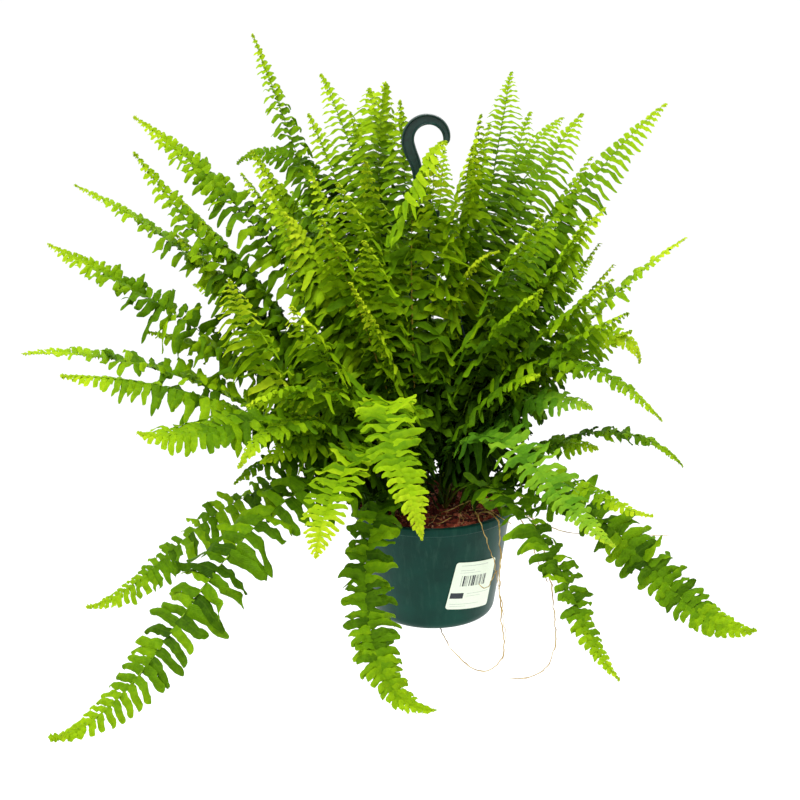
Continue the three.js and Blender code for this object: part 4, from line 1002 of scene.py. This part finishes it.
def leafletGrid(frond, ribAt, random):
    # Every leaflet of a frond at once. Along its own axis u (0 to 1), with L its length, the midline is
    #   L (u (1 - 0.1 u) out + (sickle u^2 + 0.045 u sin) broad
    #      + (lift u - arch u^2 + 0.06 curl u cos) normal)
    # less L sag u^2 in height. The half width is half ear(u) blunt(u), and the outline is scalloped: every
    # other station is wider. The blade turns about its midline by the twist, is cupped, and its margins
    # ripple by a sine; cup and ripple fade to nothing at the root.
    bare, slim, curl, crowd = frond["bare"], frond["slim"], frond["curl"], growth["crowd"]
    spare = max(0, 1 - slim)
    pitch = frond["pitch"] * (0.72 + 0.28 * min(frond["leaf"] / 24, 1))
    pairs = int(round(frond["length"] * (1 - bare) / pitch))
    t = (np.arange(pairs) + 0.5) / pairs
    q = np.repeat(t + crowd * t * (1 - t), 2)  # place along the blade, 0 to 1
    near = pitch * np.repeat(1 + crowd - 2 * crowd * t, 2)  # the pitch here
    sign = np.tile([1.0, -1.0], pairs)  # right, left
    n = len(q)

    calm = 1 - 0.75 * smoothstep(0.55, 0.95, q)  # young leaflets at the tip are still even

    def chance(low, high):
        return (low + high) / 2 + (random.uniform(low, high, n) - (low + high) / 2) * calm

    # Where each leaflet stands and its own axes: out, broad (to the tip on the right, to the foot on the
    # left) and normal, which leans skyward on a steep rib
    q = np.clip(q + np.tile([0.0, 0.5], pairs) / pairs + chance(-0.14, 0.14) / pairs, 0.002, 0.999)
    s = bare + (growth["end"] - bare) * q
    place, along, side, up = ribAt(s)
    side, up = turned(side, up, np.radians(frond["face"]) * s**2)
    length = frond["leaf"] * frond["size"] * leafShare(q, frond["blunt"]) * chance(0.86, 1.12)
    length *= 1 + frond["uneven"] * sign
    forward = np.radians(frond["lean"] + 26 * q**4 + 42 * q**24 + chance(-growth["sway"], growth["sway"]))
    out = unit(side * (sign * np.cos(forward))[:, None] + along * np.sin(forward)[:, None])
    skyward = (0.62 + 0.4 * spare) * smoothstep(0.25, 0.95, along[:, 2]) * chance(0.5, 1.2)
    normal = up * (1 - skyward)[:, None] + np.array([0, 0, 1.0]) * skyward[:, None]
    normal = unit(normal - out * np.sum(normal * out, -1, keepdims=True))
    broad = np.cross(normal, out)
    normal, broad = turned(normal, broad, chance(-growth["tilt"], growth["tilt"]) * math.pi / 180 * curl)
    half = np.minimum(0.56 * near, 0.088 * length + 2.0) * (1 + 0.35 * (curl - 1)) * slim * chance(0.86, 1.18)
    tipHalf = 0.54 * near * smoothstep(0.8, 0.95, q) * (1 - 0.5 * spare)  # no gaps between them at the tip
    half = np.maximum(np.minimum(half, 0.5 * length), tipHalf)

    m = growth["stations"]
    u = 1 - (1 - np.linspace(0, 1, m)[None]) ** 1.6  # closer stations at the round tip
    lift = (frond["lift"] + 0.9 * spare + chance(-0.2, 0.22))[:, None]
    arch = (0.36 + 0.5 * spare + 0.34 * curl * chance(-0.9, 1.1))[:, None]
    sag = (0.26 * smoothstep(-0.2, 0.7, along[:, 2]) + 0.04 + chance(-0.08, 0.12))[:, None]
    sickle = (0.13 + chance(-0.14, 0.16))[:, None]
    twist = (curl * chance(-0.9, 0.9))[:, None] * u**1.5  # radians
    wave = 2 * math.pi * (chance(0.9, 1.5)[:, None] * u + random.uniform(0, 1, n)[:, None])
    full = length[:, None]
    reach = full * u * (1 - 0.1 * u)
    swept = full * (sickle * u**2 * sign[:, None] + 0.045 * u * np.sin(wave))
    rise = full * (lift * u - arch * u**2 + 0.06 * curl * u * np.cos(wave * 1.3))
    middle = ((place - side * (sign * growth["overlap"])[:, None])[:, None] + reach[..., None] * out[:, None]
              + swept[..., None] * broad[:, None] + rise[..., None] * normal[:, None])
    middle[..., 2] -= full * sag * u**2

    ear = np.minimum(1, 0.9 + 2.4 * u)
    closing = np.clip((u - frond["round"]) / (1.003 - frond["round"]), 0, 1)
    blunt = (1 - (0.3 + 0.6 * spare) * u) * np.sqrt(np.clip(1 - closing**2, 0, 1))
    scallop = 1 + 0.06 * np.where(np.arange(m) % 2, 1, -1)[None] * (1 - 0.6 * u)
    w = half[:, None] * ear * blunt * scallop
    phase = random.uniform(0, 2 * math.pi, n)[:, None]
    ripple = 0.42 * w * np.sin(2 * math.pi * (1.7 + 1.1 * chance(0, 1)[:, None]) * u + phase)
    ripple *= (1 + 0.6 * (curl - 1)) * np.minimum(1, 5 * u)
    cupped = -0.32 * w * (1 + 0.4 * curl) * np.minimum(1, 5 * u)
    high, wide = turned(normal[:, None], broad[:, None], twist)
    thick = growth["thickness"] * (1 - (1 - u) ** 10) * np.sqrt(np.clip(1 - u**6, 0, 1))
    thick = thick * np.minimum(1, full / 12)
    # wider at the root, on the side of the frond's tip
    rootEar = 1 + 0.2 * np.exp(-((u / 0.14) ** 2)) * sign[:, None]
    right = middle + (w * rootEar)[..., None] * wide + (cupped + ripple)[..., None] * high
    left = middle - (w * (2 - rootEar))[..., None] * wide + (cupped - 0.7 * ripple)[..., None] * high
    top = middle + (thick / 2)[..., None] * high
    bottom = middle - (thick / 2)[..., None] * high
    rings = np.stack([right, top, left, bottom], 2)  # leaflet, station, corner, coordinate

    one = np.concatenate([[[3, 2, 1, 0]], gridFaces(m, 4, wrap=True)])
    faces = (one[None] + (np.arange(n) * m * 4)[:, None, None]).reshape(-1, 4)
    across = np.array([1.0, 0.0, -1.0, 0.0])
    alongLeaf = u[..., None]
    luck = chance(0, 1)[:, None, None]
    young = 0.34 * smoothstep(0.7, 1.0, q) - 0.14 * (1 - smoothstep(0.0, 0.4, q))
    ring = np.hypot(place[:, 0], place[:, 1])
    # painted shade: leaves near the axis and low down, deep in the foliage, are made deeper green
    paintedShade = 0.3 * (1 - smoothstep(40, 190, ring)) * (1 - smoothstep(230, 430, place[:, 2]))
    tone = frond["tone"] + young - paintedShade + chance(-0.2, 0.2)
    tone = tone[:, None, None] + 0.1 * (alongLeaf - 0.5) + 0.05 * np.abs(across)
    spots = np.stack(np.broadcast_arrays(alongLeaf, across, luck), -1)
    return rings.reshape(-1, 3), faces.tolist(), tone.ravel(), spots.reshape(-1, 3)


def makeFrond(number, rows):
    random = np.random.default_rng(growth["seed"] + number)
    grids, tones, places, slots = [], [], [], []
    for frond in rows:
        ribAt = ribOf(frond, footOf(rows[0]))
        stalk, stalkFaces, stalkTone = stalkGrid(frond, ribAt)
        blade, bladeFaces, bladeTone, bladePlace = leafletGrid(frond, ribAt, random)
        grids += [(stalk, stalkFaces), (blade, bladeFaces)]
        tones += [stalkTone, bladeTone]
        places += [np.zeros((len(stalk), 3)), bladePlace]
        slots += [1] * len(stalkFaces) + [0] * len(bladeFaces)
    materials = [coolLeaf if rows[0]["cool"] else freshLeaf, brownStalk if rows[0]["brown"] else greenStalk]
    name = f"frond_{number:02d}"
    attributes = {"leafTone": np.concatenate(tones), "leafPlace": np.vstack(places)}
    piece = meshPiece(name + "_leaf", joinGrids(grids), materials, name, sharp=70, closed=False,
                      slots=slots, attributes=attributes)
    return sum(len(face.vertices) - 2 for face in piece.data.polygons)


triangles = sum(makeFrond(number, rows) for number, rows in fronds.items())
print("fronds:", len(fronds), "triangles:", triangles)
